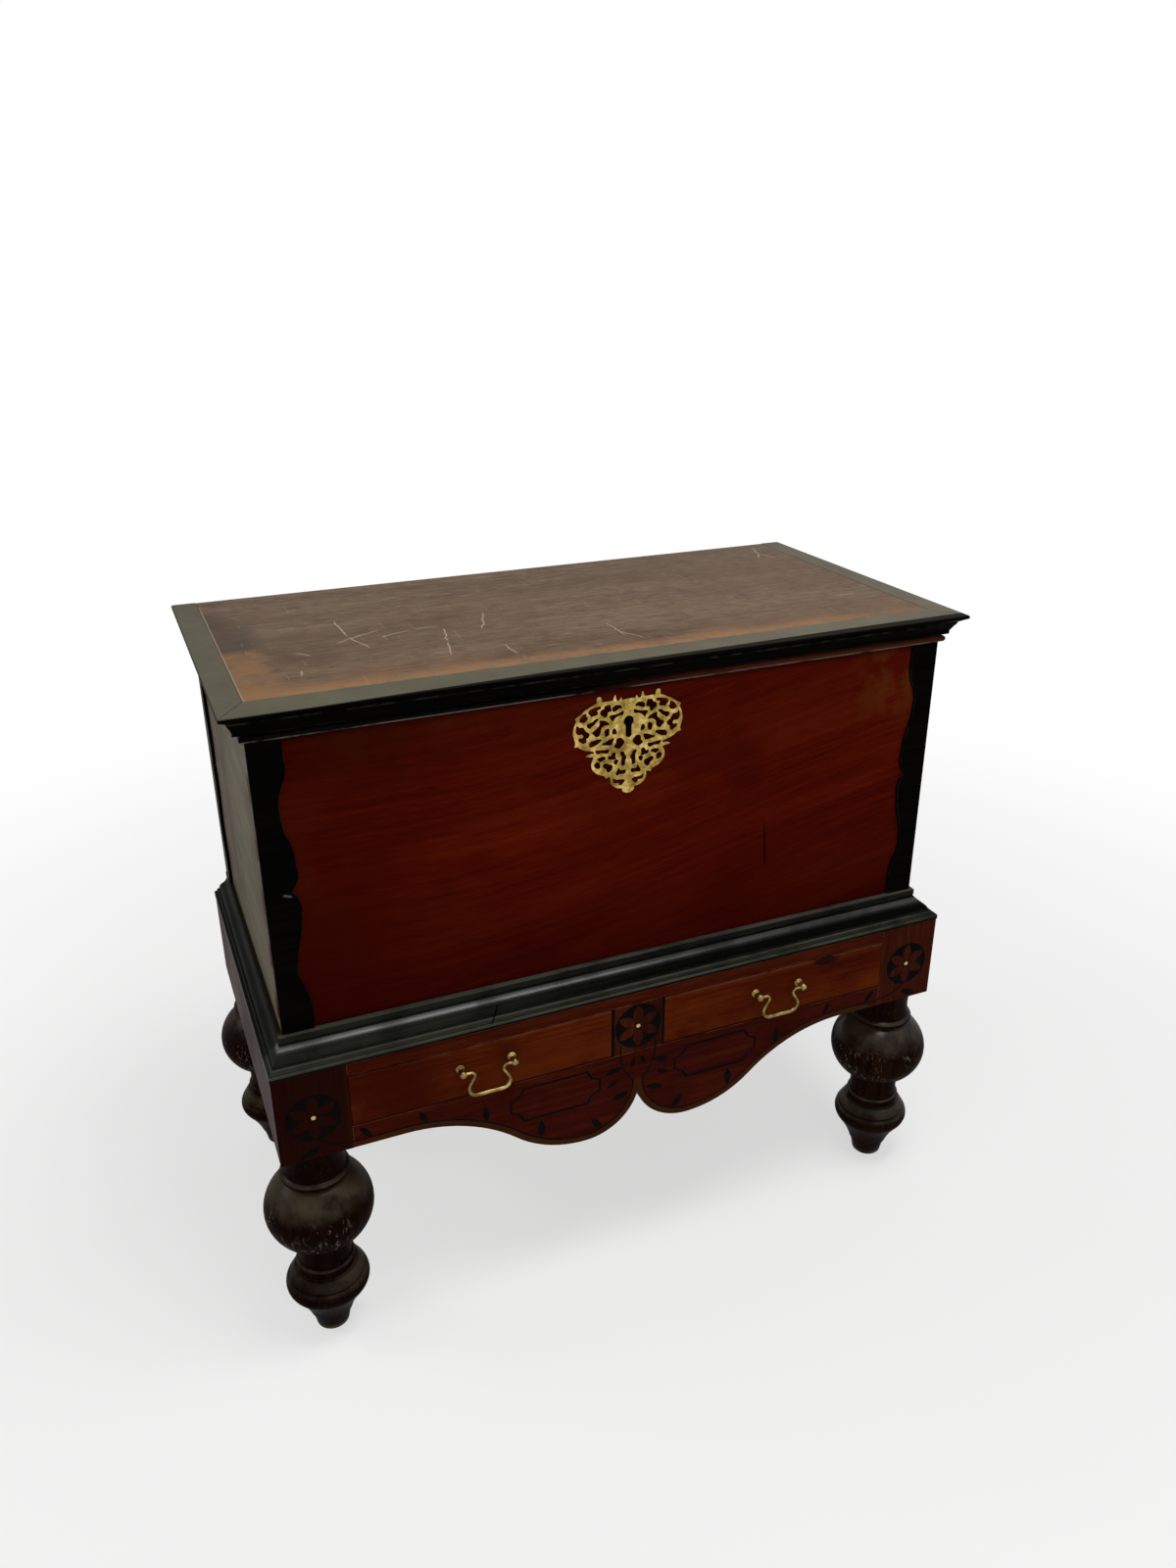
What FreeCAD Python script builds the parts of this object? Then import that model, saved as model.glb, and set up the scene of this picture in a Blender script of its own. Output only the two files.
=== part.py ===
"""Inlaid trunk on a stand: a lift-off chest with a flat hinged lid, over a frame with two drawers.

Millimetres, +Z up, the front faces -Y. The origin lies on the floor under the middle of the stand.
"""
import FreeCAD, Part
import os
from math import acos, atan2, cos, degrees, hypot, radians, sin, sqrt

V = FreeCAD.Vector
os.makedirs("parts", exist_ok=True)

# Shared clearances and joinery
overrun = 5.0
up_angle = 90
left_angle = 180
down_angle = 270
full_turn = 360
slide_clearance = 1.0
fit_gap = 0.5
tenon_length = 24.0
tenon_thickness = 10.0
tenon_shoulder = 5.0
housing_depth = 6.0

# Stand frame
stand_width = 1060.0
stand_depth = 545.0
stand_top = 484.5
post_side = 100.0
post_height = 139.5
frame_thickness = 26.0
top_rail_height = 19.5
drawer_opening_height = 84.0
stile_width = 85.0
runner_width = 30.0
runner_height = 20.0
guide_height = 25.0

# Shaped front apron: two lobes that meet in a cusp, as shares of half the space between the posts
lobe_drop = 104.0
cusp_rise = 64.0
lobe_offset_share = 0.1977
hollow_end_share = 0.8317
lobe_radius_share = 0.404

# Turned leg, from the floor up
leg_dowel_radius = 20.0
leg_dowel_length = 60.0
dowel_gap = 0.1
foot_radius = 24.0
peg_top_radius = 29.5
peg_height = 27.0
cup_bottom_radius = 31.5
cup_top_radius = 56.0
cup_height = 46.0
cup_hollow = 2.5
torus_radius = 61.0
torus_top_radius = 57.0
torus_height = 25.0
groove_depth = 3.0
groove_width = 3.0
shoulder_radius = 55.0
shoulder_top_radius = 46.0
shoulder_height = 14.0
shoulder_bulge = 0.6
ledge_radius = 40.5
bead_radius = 43.0
bead_height = 9.0
bead_middle = 126.5
waist_radius = 38.5
neck_hollow = 2.0
ball_radius = 78.0
ball_half_height = 67.0
ball_middle = 226.0
collar_ring_radius = 48.0
collar_ring_height = 13.0
collar_neck_radius = 43.0
collar_top_radius = 47.0

# Base moulding round the chest's foot, as shares of its run and its height
base_moulding_height = 40.0
base_moulding_overhang = 0.8
base_lip_shares = [(0.0, 0.0), (0.0, 1.0), (0.20, 1.0), (0.20, 0.78), (0.17, 0.74), (0.22, 0.70)]
base_ogee_shares = [((0.36, 0.57), (0.47, 0.52)), ((0.62, 0.44), (0.70, 0.30))]
base_reed_shares = [((0.80, 0.29), (0.84, 0.20)), ((0.95, 0.20), (1.0, 0.08))]

# Chest carcass
chest_side_setback = 27.8
chest_setback = 45.5
chest_height = 468.0
wall = 20.0
bottom_thickness = 16.0
bottom_raise = 12.0
bottom_groove = 8.0
dovetail_count = 6
tail_root_share = 0.44
tail_tip_share = 0.62

# Corner strips with a waved inner edge, as shares of the strip's height and of its width
strip_thickness = 5.0
strip_width = 44.0
strip_neck_width = 31.0
strip_cusp_width = 35.0
strip_straight_share = 0.09
strip_neck_share = 0.22
strip_swell_share = 0.42
strip_bulge_share = 0.46

# Moulding round the chest's rim
rim_height = 9.5
rim_drop = 1.4
rim_overhang = 7.0

# Lid
lid_end_overhang = 29.5
lid_overhang = 28.6
lid_thickness = 32.0
lid_front_edging_width = 52.0
lid_side_edging_width = 36.0
lid_end_proud = 2.0
tongue_length = 10.0
tongue_thickness = 10.0
lid_bottom_overhang = 6.0
lid_nose_top_share = 0.12
lid_nose_height_share = 0.19
lid_step_share = 0.62
lid_step_depth_shares = (0.39, 0.45)
lid_cove_middle_shares = (0.80, 0.62)
lid_cove_end_share = 0.84

# Hinges on the back
hinge_offset = 300.0
hinge_length = 90.0
hinge_leaf_height = 28.0
hinge_leaf_thickness = 2.0
hinge_barrel_radius = 5.0
hinge_pin_radius = 2.5
hinge_pin_gap = 0.05
hinge_gap = 0.4
hinge_knuckles = 5

# Lock, staple and bolt behind the front
lock_width = 110.0
lock_height = 96.0
lock_depth = 20.0
lock_wall = 2.0
lock_let_in = 8.0
bolt_length = 22.0
bolt_height = 14.0
bolt_drop = 20.0
bolt_nose_length = 18.0
bolt_nose_height = 9.0
bolt_nose_thickness = 4.6
bolt_rest_gap = 3.0
bolt_gap = 0.3
bolt_ledge = 2.0
staple_thickness = 8.0
staple_depth = 11.0
staple_eye_depth = 6.6
staple_eye_height = 13.0
staple_slot_gap = 2.2
staple_plate_length = 44.0
staple_plate_depth = 24.0
staple_plate_thickness = 2.5
staple_eye_floor = 5.0

# Pierced brass escutcheon on the front
escutcheon_width = 164.0
escutcheon_height = 147.0
escutcheon_top_drop = 21.0
escutcheon_thickness = 2.0
keyhole_radius = 7.5
keyhole_slot = 9.0
keyhole_height = 31.5
keyhole_drop = 32.5
nail_radius = 1.2
nail_head_radius = 2.0
nail_head_height = 1.2
nail_length = 9.0
nail_shares = [(0.0, 0.120), (0.0, 0.480), (0.0, 0.945), (0.672, 0.501)]

# Escutcheon's right half, in shares of its half width and of its height below the top:
# the edge as smooth runs that meet in corners, then the holes
plate_edge_shares = [
    [(0.000, 0.054), (0.073, 0.056), (0.116, 0.058)],
    [(0.116, 0.058), (0.129, 0.041), (0.138, 0.029)],
    [(0.138, 0.029), (0.154, 0.044), (0.177, 0.061)],
    [(0.177, 0.061), (0.210, 0.059), (0.229, 0.034), (0.248, 0.003)],
    [(0.248, 0.003), (0.266, 0.020), (0.274, 0.037), (0.293, 0.055)],
    [(0.293, 0.055), (0.390, 0.053), (0.485, 0.056)],
    [(0.485, 0.056), (0.488, 0.024), (0.504, 0.007), (0.533, 0.000), (0.563, 0.008), (0.573, 0.031),
     (0.576, 0.062)],
    [(0.576, 0.062), (0.671, 0.076), (0.768, 0.102), (0.866, 0.143)],
    [(0.866, 0.143), (0.921, 0.158), (0.967, 0.175)],
    [(0.967, 0.175), (0.951, 0.194), (0.946, 0.207)],
    [(0.946, 0.207), (0.979, 0.245), (1.000, 0.296), (0.996, 0.350), (0.970, 0.401), (0.963, 0.418)],
    [(0.963, 0.418), (0.976, 0.442), (0.971, 0.461)],
    [(0.971, 0.461), (0.939, 0.457), (0.909, 0.459)],
    [(0.909, 0.459), (0.829, 0.490), (0.732, 0.512), (0.659, 0.523), (0.622, 0.537)],
    [(0.622, 0.537), (0.707, 0.538), (0.762, 0.549), (0.788, 0.561)],
    [(0.788, 0.561), (0.732, 0.573), (0.671, 0.578), (0.639, 0.584)],
    [(0.639, 0.584), (0.671, 0.616), (0.683, 0.653), (0.673, 0.690), (0.638, 0.724), (0.567, 0.759),
     (0.488, 0.779), (0.441, 0.788)],
    [(0.441, 0.788), (0.430, 0.806), (0.420, 0.820)],
    [(0.420, 0.820), (0.384, 0.812), (0.337, 0.810)],
    [(0.337, 0.810), (0.340, 0.847), (0.323, 0.879), (0.280, 0.908), (0.226, 0.929), (0.171, 0.939),
     (0.120, 0.942)],
    [(0.120, 0.942), (0.110, 0.971), (0.076, 0.990), (0.039, 0.998), (0.000, 1.000)],
]
plate_hole_shares = [
    [(0.126, 0.131), (0.160, 0.111), (0.221, 0.107), (0.270, 0.117), (0.288, 0.139), (0.274, 0.158),
     (0.237, 0.153), (0.195, 0.140), (0.159, 0.133)],
    [(0.421, 0.099), (0.381, 0.094), (0.341, 0.097), (0.330, 0.122), (0.319, 0.141), (0.326, 0.154),
     (0.353, 0.154), (0.385, 0.165), (0.390, 0.185), (0.417, 0.202), (0.454, 0.186), (0.498, 0.169),
     (0.504, 0.153), (0.474, 0.131), (0.438, 0.122)],
    [(0.108, 0.171), (0.144, 0.180), (0.192, 0.190), (0.241, 0.195), (0.295, 0.197), (0.341, 0.206),
     (0.315, 0.228), (0.292, 0.252), (0.269, 0.235), (0.221, 0.214), (0.161, 0.203), (0.106, 0.199),
     (0.098, 0.185)],
    [(0.515, 0.093), (0.576, 0.096), (0.642, 0.105), (0.714, 0.133), (0.710, 0.146), (0.682, 0.159),
     (0.669, 0.172), (0.620, 0.170), (0.575, 0.167), (0.560, 0.150), (0.573, 0.133), (0.550, 0.117),
     (0.517, 0.112)],
    [(0.768, 0.146), (0.810, 0.153), (0.851, 0.178), (0.872, 0.204), (0.837, 0.218), (0.788, 0.218),
     (0.757, 0.203), (0.741, 0.184), (0.762, 0.167)],
    [(0.928, 0.316), (0.933, 0.282), (0.920, 0.251), (0.895, 0.267), (0.827, 0.273), (0.793, 0.296),
     (0.757, 0.323), (0.717, 0.341), (0.728, 0.371), (0.766, 0.380), (0.768, 0.412), (0.788, 0.425),
     (0.844, 0.412), (0.891, 0.387), (0.880, 0.375), (0.839, 0.378), (0.807, 0.367), (0.808, 0.347),
     (0.842, 0.331), (0.891, 0.332)],
    [(0.701, 0.452), (0.672, 0.425), (0.605, 0.417), (0.539, 0.413), (0.496, 0.418), (0.537, 0.441),
     (0.597, 0.461), (0.657, 0.470), (0.700, 0.467)],
    [(0.550, 0.212), (0.605, 0.216), (0.647, 0.235), (0.701, 0.243), (0.740, 0.252), (0.730, 0.273),
     (0.692, 0.286), (0.665, 0.272), (0.615, 0.256), (0.574, 0.231)],
    [(0.510, 0.233), (0.445, 0.239), (0.389, 0.258), (0.355, 0.277), (0.406, 0.278), (0.467, 0.290),
     (0.504, 0.312), (0.512, 0.350), (0.533, 0.369), (0.583, 0.378), (0.619, 0.356), (0.647, 0.340),
     (0.617, 0.323), (0.575, 0.308), (0.534, 0.286), (0.512, 0.259)],
    [(0.431, 0.340), (0.391, 0.324), (0.367, 0.323), (0.354, 0.340), (0.356, 0.367), (0.375, 0.388),
     (0.409, 0.391), (0.422, 0.367)],
    [(0.283, 0.371), (0.281, 0.340), (0.265, 0.330), (0.242, 0.337), (0.229, 0.357), (0.230, 0.378),
     (0.254, 0.380)],
    [(0.284, 0.427), (0.348, 0.434), (0.420, 0.452), (0.474, 0.467), (0.395, 0.476), (0.307, 0.480),
     (0.292, 0.456)],
    [(0.196, 0.432), (0.160, 0.430), (0.104, 0.444), (0.081, 0.463), (0.089, 0.486), (0.124, 0.510),
     (0.178, 0.529), (0.228, 0.517), (0.254, 0.503), (0.224, 0.480), (0.217, 0.452)],
    [(0.587, 0.518), (0.514, 0.522), (0.416, 0.529), (0.358, 0.532), (0.366, 0.544), (0.378, 0.556),
     (0.439, 0.552), (0.512, 0.546), (0.567, 0.550), (0.584, 0.537)],
    [(0.132, 0.573), (0.096, 0.575), (0.070, 0.602), (0.043, 0.626), (0.057, 0.653), (0.069, 0.684),
     (0.076, 0.706), (0.113, 0.704), (0.124, 0.677), (0.119, 0.636), (0.127, 0.602)],
    [(0.550, 0.598), (0.497, 0.593), (0.436, 0.597), (0.423, 0.609), (0.459, 0.619), (0.501, 0.632),
     (0.532, 0.626)],
    [(0.602, 0.646), (0.568, 0.637), (0.533, 0.646), (0.523, 0.670), (0.528, 0.692), (0.565, 0.694),
     (0.602, 0.679), (0.615, 0.660)],
    [(0.456, 0.678), (0.432, 0.666), (0.395, 0.669), (0.352, 0.680), (0.309, 0.688), (0.293, 0.702),
     (0.307, 0.726), (0.336, 0.744), (0.366, 0.750), (0.385, 0.738), (0.399, 0.718), (0.430, 0.704)],
    [(0.351, 0.595), (0.303, 0.586), (0.283, 0.568), (0.255, 0.568), (0.237, 0.586), (0.247, 0.609),
     (0.233, 0.626), (0.257, 0.631), (0.306, 0.628), (0.349, 0.623), (0.362, 0.612)],
    [(0.254, 0.648), (0.220, 0.641), (0.193, 0.650), (0.206, 0.673), (0.230, 0.687), (0.249, 0.677)],
    [(0.172, 0.731), (0.159, 0.750), (0.110, 0.760), (0.061, 0.757), (0.054, 0.776), (0.083, 0.789),
     (0.145, 0.786), (0.217, 0.791), (0.214, 0.769), (0.190, 0.748)],
    [(0.270, 0.830), (0.245, 0.841), (0.177, 0.850), (0.104, 0.852), (0.073, 0.861), (0.090, 0.881),
     (0.132, 0.900), (0.162, 0.896), (0.170, 0.878), (0.207, 0.872), (0.249, 0.870), (0.272, 0.854)],
]

# Drawers
drawer_front_thickness = 20.0
drawer_wall = 12.0
drawer_bottom_thickness = 8.0
drawer_bottom_raise = 8.0
drawer_groove = 5.0
drawer_lap = 10.0
drawer_top_gap = 1.5
drawer_rear_gap = 1.0
drawer_back_drop = 6.0

# Swan-neck bail handles on ball-headed posts
bail_span = 76.0
bail_rise_share = 0.5833
bail_rod_radius = 2.3
bail_stand_off = 14.0
bail_pin_gap = 0.05
bail_neck_run = 11.0
bail_neck_radius = 6.0
bail_neck_turn = 120.0
bail_leg_length = 14.0
bail_bottom_radius = 12.0
post_head_radius = 6.5
post_neck_radius = 3.6
post_rose_radius = 7.5
post_rose_thickness = 2.0
post_stem_radius = 3.0
stem_gap = 0.1
nut_side = 11.0
nut_thickness = 5.0
stem_end = 2.0

# Inlay of ebony and bone in the stand's front
inlay_depth = 1.5
rosette_radius = 37.5
rosette_drop = 72.5
centre_rosette_drop = 59.0
petal_count = 6
petal_inner_share = 0.10
petal_outer_share = 0.94
petal_width_share = 0.42
dot_radius = 3.2
string_width = 2.6
string_inset = 11.0
bar_width = 4.0
cartouche_width_share = 0.335
cartouche_height = 61.0
cartouche_offset_share = 0.307
cartouche_drop = 7.0
cartouche_notch_share = 0.34
cartouche_step_share = 0.66
cartouche_line = 4.0
leaf_width_share = 0.38
cup_side_share = 0.72
cup_side_drop_share = 0.72
cup_bow_share = 1.1
end_curve_share = 1.90
end_curve_turn = 43.5

# Inlaid leaves of the right half, foot and tip: shares of the half width and of the apron's height,
# then one on the post in shares of the rosette
leaf_shares = [
    ((0.027, 0.797), (0.013, 0.930)),
    ((0.057, 0.838), (0.122, 0.796)),
    ((0.073, 0.676), (0.119, 0.624)),
    ((0.034, 0.500), (0.100, 0.439)),
    ((0.138, 0.114), (0.177, 0.271)),
    ((0.364, 0.214), (0.362, 0.436)),
    ((0.555, 0.613), (0.560, 0.805)),
    ((0.760, 0.814), (0.782, 0.970)),
    ((0.942, 0.824), (0.978, 0.968)),
]
end_leaf_shares = ((-0.133, -1.347), (0.640, -1.667))

# Levels and planes that the pieces share
front = -stand_depth / 2
back = stand_depth / 2
post_bottom = stand_top - post_height
opening_top = stand_top - top_rail_height
opening_bottom = opening_top - drawer_opening_height
bail_height = opening_bottom + drawer_opening_height * bail_rise_share
post_inner = stand_width / 2 - post_side
lobe_bottom = post_bottom - lobe_drop
lobe_offset = post_inner * lobe_offset_share
hollow_x = post_inner * hollow_end_share
frame_back = front + frame_thickness
rear_rail_front = back - frame_thickness
chest_face = front + chest_setback
chest_top = stand_top + chest_height
chest_side = stand_width / 2 - chest_side_setback
lid_top = chest_top + lid_thickness
base_lip_top = stand_top + base_moulding_height
rim_top = chest_top - rim_drop
rim_bottom = rim_top - rim_height

nodes = {}


def block(x0, x1, y0, y1, z0, z1):
    """A box between two corners."""
    return Part.makeBox(x1 - x0, y1 - y0, z1 - z0, V(x0, y0, z0))


def mirrored(shape):
    """The same shape on the other side of the YZ plane."""
    return shape.mirror(V(0, 0, 0), V(1, 0, 0))


def cut_all(shape, tools):
    """The shape less all the tools."""
    return shape.cut(list(tools)) if tools else shape


def joined(shapes):
    """One clean solid, or a group of solids, from shapes that touch or overlap."""
    first = shapes[0]
    whole = first.fuse(list(shapes[1:])) if len(shapes) > 1 else first
    return whole.removeSplitter()


def prism(points, direction):
    """A straight-sided prism from a closed outline."""
    outline = Part.makePolygon([V(*p) for p in points] + [V(*points[0])])
    return Part.Face(outline).extrude(direction)


def front_disc(x, z, radius, y0, y1):
    """A round piece whose axis runs front to back."""
    return Part.makeCylinder(radius, y1 - y0, V(x, y0, z), V(0, 1, 0))


def lens(ax, az, bx, bz, width, y0, y1):
    """A leaf between two points: two arcs that meet in points, seen from the front."""
    mx, mz = (ax + bx) / 2, (az + bz) / 2
    length = hypot(bx - ax, bz - az)
    nx, nz = -(bz - az) / length, (bx - ax) / length
    half = width / 2
    a, b = V(ax, y0, az), V(bx, y0, bz)
    side = Part.Arc(a, V(mx + nx * half, y0, mz + nz * half), b).toShape()
    other = Part.Arc(b, V(mx - nx * half, y0, mz - nz * half), a).toShape()
    return Part.Face(Part.Wire([side, other])).extrude(V(0, y1 - y0, 0))


def arc_point(x, z, radius, angle, y):
    """A point of a circle seen from the front."""
    return V(x + radius * cos(radians(angle)), y, z + radius * sin(radians(angle)))


def arc_band(x, z, radius, start, end, width, y0, y1):
    """A strip of even width along an arc, seen from the front."""
    outer, inner = radius + width / 2, radius - width / 2
    middle = (start + end) / 2
    far = [arc_point(x, z, outer, a, y0) for a in (start, middle, end)]
    near = [arc_point(x, z, inner, a, y0) for a in (end, middle, start)]
    edges = [
        Part.Arc(*far).toShape(),
        Part.LineSegment(far[2], near[0]).toShape(),
        Part.Arc(*near).toShape(),
        Part.LineSegment(near[2], far[0]).toShape(),
    ]
    return Part.Face(Part.Wire(edges)).extrude(V(0, y1 - y0, 0))


def line_band(ax, az, bx, bz, width, y0, y1):
    """A strip of even width between two points, seen from the front."""
    length = hypot(bx - ax, bz - az)
    nx, nz = -(bz - az) / length * width / 2, (bx - ax) / length * width / 2
    corners = [(ax + nx, az + nz), (bx + nx, bz + nz), (bx - nx, bz - nz), (ax - nx, az - nz)]
    return prism([(x, y0, z) for x, z in corners], V(0, y1 - y0, 0))


def wire_from(points_and_arcs):
    """A closed wire: ('line', p) draws to p and ('arc', m, p) draws through m to p."""
    edges = []
    at = points_and_arcs[0][1]
    for step in points_and_arcs[1:]:
        if step[0] == "line":
            edges.append(Part.LineSegment(at, step[1]).toShape())
        else:
            edges.append(Part.Arc(at, step[1], step[2]).toShape())
        at = step[-1]
    return Part.Wire(edges)


# Legs
def turned_leg(x, y):
    """One turned leg with its dowel, standing on the floor at a point."""
    def p(radius, height):
        return V(radius, 0, height)

    torus_low = peg_height + cup_height
    torus_top = torus_low + torus_height
    groove_top = torus_top + groove_width
    shoulder_top = groove_top + shoulder_height
    bead_low = bead_middle - bead_height / 2
    bead_top = bead_middle + bead_height / 2
    ball_low = ball_middle - ball_half_height * sin(acos(waist_radius / ball_radius))
    ball_top = ball_middle + ball_half_height * sin(acos(collar_neck_radius / ball_radius))
    ring_top = ball_top + collar_ring_height
    cup_middle = p((cup_bottom_radius + cup_top_radius) / 2 - cup_hollow, (peg_height + torus_low) / 2)
    shoulder_mean = (shoulder_radius + shoulder_top_radius) / 2
    shoulder_middle = p(shoulder_mean + shoulder_bulge, (groove_top + shoulder_top) / 2)
    neck_middle = p(collar_neck_radius, (ring_top + post_bottom) / 2)
    low_angle = -acos(waist_radius / ball_radius) / 2
    high_angle = acos(collar_neck_radius / ball_radius) / 2
    ball_lower = p(ball_radius * cos(low_angle), ball_middle + ball_half_height * sin(low_angle))
    ball_upper = p(ball_radius * cos(high_angle), ball_middle + ball_half_height * sin(high_angle))
    dowel_top = post_bottom + leg_dowel_length
    outline = wire_from([
        ("line", p(0, 0)),
        ("line", p(foot_radius, 0)),
        ("line", p(peg_top_radius, peg_height)),
        ("line", p(cup_bottom_radius, peg_height)),
        ("arc", cup_middle, p(cup_top_radius, torus_low)),
        ("arc", p(torus_radius, (torus_low + torus_top) / 2), p(torus_top_radius, torus_top)),
        ("line", p(torus_top_radius - groove_depth, torus_top)),
        ("line", p(torus_top_radius - groove_depth, groove_top)),
        ("line", p(shoulder_radius, groove_top)),
        ("arc", shoulder_middle, p(shoulder_top_radius, shoulder_top)),
        ("line", p(ledge_radius, shoulder_top)),
        ("line", p(ledge_radius, bead_low)),
        ("arc", p(bead_radius, bead_middle), p(ledge_radius, bead_top)),
        ("line", p(waist_radius, bead_top)),
        ("line", p(waist_radius, ball_low)),
        ("arc", ball_lower, p(ball_radius, ball_middle)),
        ("arc", ball_upper, p(collar_neck_radius, ball_top)),
        ("arc", p(collar_ring_radius, (ball_top + ring_top) / 2), p(collar_neck_radius, ring_top)),
        ("arc", neck_middle - V(neck_hollow, 0, 0), p(collar_top_radius, post_bottom)),
        ("line", p(leg_dowel_radius, post_bottom)),
        ("line", p(leg_dowel_radius, dowel_top)),
        ("line", p(0, dowel_top)),
        ("line", p(0, 0)),
    ])
    leg = Part.Face(outline).revolve(V(0, 0, 0), V(0, 0, 1), full_turn)
    leg.translate(V(x, y, 0))
    return leg


leg_x = stand_width / 2 - post_side / 2
leg_y = stand_depth / 2 - post_side / 2
corners = {"front_left": (-1, -1), "front_right": (1, -1), "back_left": (-1, 1), "back_right": (1, 1)}
for corner, (sx, sy) in corners.items():
    nodes["leg_" + corner] = turned_leg(sx * leg_x, sy * leg_y)


# Frame of the stand: rails with tenons between four posts
def rail_along_x(x0, x1, y0, y1, z0, z1):
    """A rail between two posts with a tenon at each end; gives the rail and its tenons."""
    middle = (y0 + y1) / 2
    cross = (middle - tenon_thickness / 2, middle + tenon_thickness / 2)
    height = (z0 + tenon_shoulder, z1 - tenon_shoulder)
    ends = [block(x0 - tenon_length, x0, *cross, *height), block(x1, x1 + tenon_length, *cross, *height)]
    return joined([block(x0, x1, y0, y1, z0, z1)] + ends), ends


def rail_along_y(x0, x1, y0, y1, z0, z1):
    """The same for a rail that runs front to back."""
    middle = (x0 + x1) / 2
    cross = (middle - tenon_thickness / 2, middle + tenon_thickness / 2)
    height = (z0 + tenon_shoulder, z1 - tenon_shoulder)
    ends = [block(*cross, y0 - tenon_length, y0, *height), block(*cross, y1, y1 + tenon_length, *height)]
    return joined([block(x0, x1, y0, y1, z0, z1)] + ends), ends


def lower_edge_arcs():
    """Centres, radii and angles of the apron's lower edge on the right half, from the cusp outwards."""
    inner_radius = (lobe_offset ** 2 + cusp_rise ** 2) / (2 * cusp_rise)
    cusp_angle = degrees(atan2(cusp_rise - inner_radius, -lobe_offset)) % full_turn
    run = hollow_x - lobe_offset
    turn = 2 * atan2(lobe_drop, run)
    both_radii = run / sin(turn)
    outer_radius = both_radii * lobe_radius_share
    hollow_radius = both_radii - outer_radius
    turned = degrees(turn)
    return [
        (lobe_offset, lobe_bottom + inner_radius, inner_radius, cusp_angle, down_angle),
        (lobe_offset, lobe_bottom + outer_radius, outer_radius, down_angle, down_angle + turned),
        (hollow_x, post_bottom - hollow_radius, hollow_radius, up_angle + turned, up_angle),
    ]


def apron_board():
    """The front apron's body, with two lobes, before its tenons and pockets."""
    edges = []
    start = V(0, front, lobe_bottom + cusp_rise)
    at = start
    for x, z, radius, a, b in lower_edge_arcs():
        end = arc_point(x, z, radius, b, front)
        edges.append(Part.Arc(at, arc_point(x, z, radius, (a + b) / 2, front), end).toShape())
        at = end
    low_corner, high_corner = V(post_inner, front, post_bottom), V(post_inner, front, opening_bottom)
    for point in (low_corner, high_corner, V(0, front, opening_bottom), start):
        edges.append(Part.LineSegment(at, point).toShape())
        at = point
    half = Part.Face(Part.Wire(edges)).extrude(V(0, frame_thickness, 0))
    return joined([half, mirrored(half)])


apron_tenons = rail_along_x(-post_inner, post_inner, front, frame_back, post_bottom, opening_bottom)[1]
front_apron = joined([apron_board()] + apron_tenons)
front_top_rail, top_tenons = rail_along_x(-post_inner, post_inner, front, frame_back, opening_top, stand_top)
back_rail, back_tenons = rail_along_x(-post_inner, post_inner, rear_rail_front, back, post_bottom, stand_top)
side_span = (front + post_side, back - post_side, post_bottom, stand_top)
outside = stand_width / 2
left_apron, left_tenons = rail_along_y(-outside, -outside + frame_thickness, *side_span)
right_apron, right_tenons = rail_along_y(outside - frame_thickness, outside, *side_span)

# Centre stile with stub tenons up and down
stile_tenon_width = stile_width - 2 * tenon_thickness
stile_middle = front + frame_thickness / 2
stile_tenon_y = (stile_middle - tenon_thickness / 2, stile_middle + tenon_thickness / 2)
stile_tenon_span = (-stile_tenon_width / 2, stile_tenon_width / 2)
stile_ends = [
    block(*stile_tenon_span, *stile_tenon_y, opening_bottom - tenon_thickness, opening_bottom),
    block(*stile_tenon_span, *stile_tenon_y, opening_top, opening_top + tenon_thickness),
]
stile_body = block(-stile_width / 2, stile_width / 2, front, frame_back, opening_bottom, opening_top)
centre_stile = joined([stile_body] + stile_ends)

# Runners under the drawers and kickers over them, housed in the front frame and the back rail
bearer_spans = [
    (-post_inner, -post_inner + runner_width),
    (-stile_width / 2 - runner_width, stile_width / 2 + runner_width),
    (post_inner - runner_width, post_inner),
]
bearer_y = (frame_back - housing_depth, rear_rail_front + housing_depth)
runners = [block(*span, *bearer_y, opening_bottom - runner_height, opening_bottom) for span in bearer_spans]
guide_half = stile_width / 2 - fit_gap
guide_z = (opening_bottom, opening_bottom + guide_height)
guide = block(-guide_half, guide_half, frame_back, rear_rail_front, *guide_z)
runners[1] = joined([runners[1], guide])
kickers = [block(*span, *bearer_y, opening_top, stand_top) for span in bearer_spans]
nodes["drawer_runners"] = Part.makeCompound(runners)
nodes["drawer_kickers"] = Part.makeCompound(kickers)


# Inlays: rosettes, string lines, leaves and cartouches, all let into the front plane
inlay_back = front + inlay_depth


def rosette(x, z):
    """An ebony disc pierced by petals of the ground wood, with a hole for its dot."""
    petals = []
    through = (front - overrun, inlay_back + overrun)
    for k in range(petal_count):
        angle = radians(up_angle + full_turn / petal_count * k)
        near, far = rosette_radius * petal_inner_share, rosette_radius * petal_outer_share
        a = (x + near * cos(angle), z + near * sin(angle))
        b = (x + far * cos(angle), z + far * sin(angle))
        petals.append(lens(*a, *b, rosette_radius * petal_width_share, *through))
    dot = front_disc(x, z, dot_radius, *through)
    return front_disc(x, z, rosette_radius, front, inlay_back).cut(petals + [dot])


end_rosette_z = stand_top - rosette_drop
centre_rosette_z = stand_top - centre_rosette_drop
rosette_places = [(-leg_x, end_rosette_z), (0, centre_rosette_z), (leg_x, end_rosette_z)]
rosettes = [rosette(x, z) for x, z in rosette_places]
dots = [front_disc(x, z, dot_radius, front, inlay_back) for x, z in rosette_places]
nodes["rosette_inlays"] = Part.makeCompound(rosettes)
nodes["rosette_dots"] = Part.makeCompound(dots)


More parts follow.
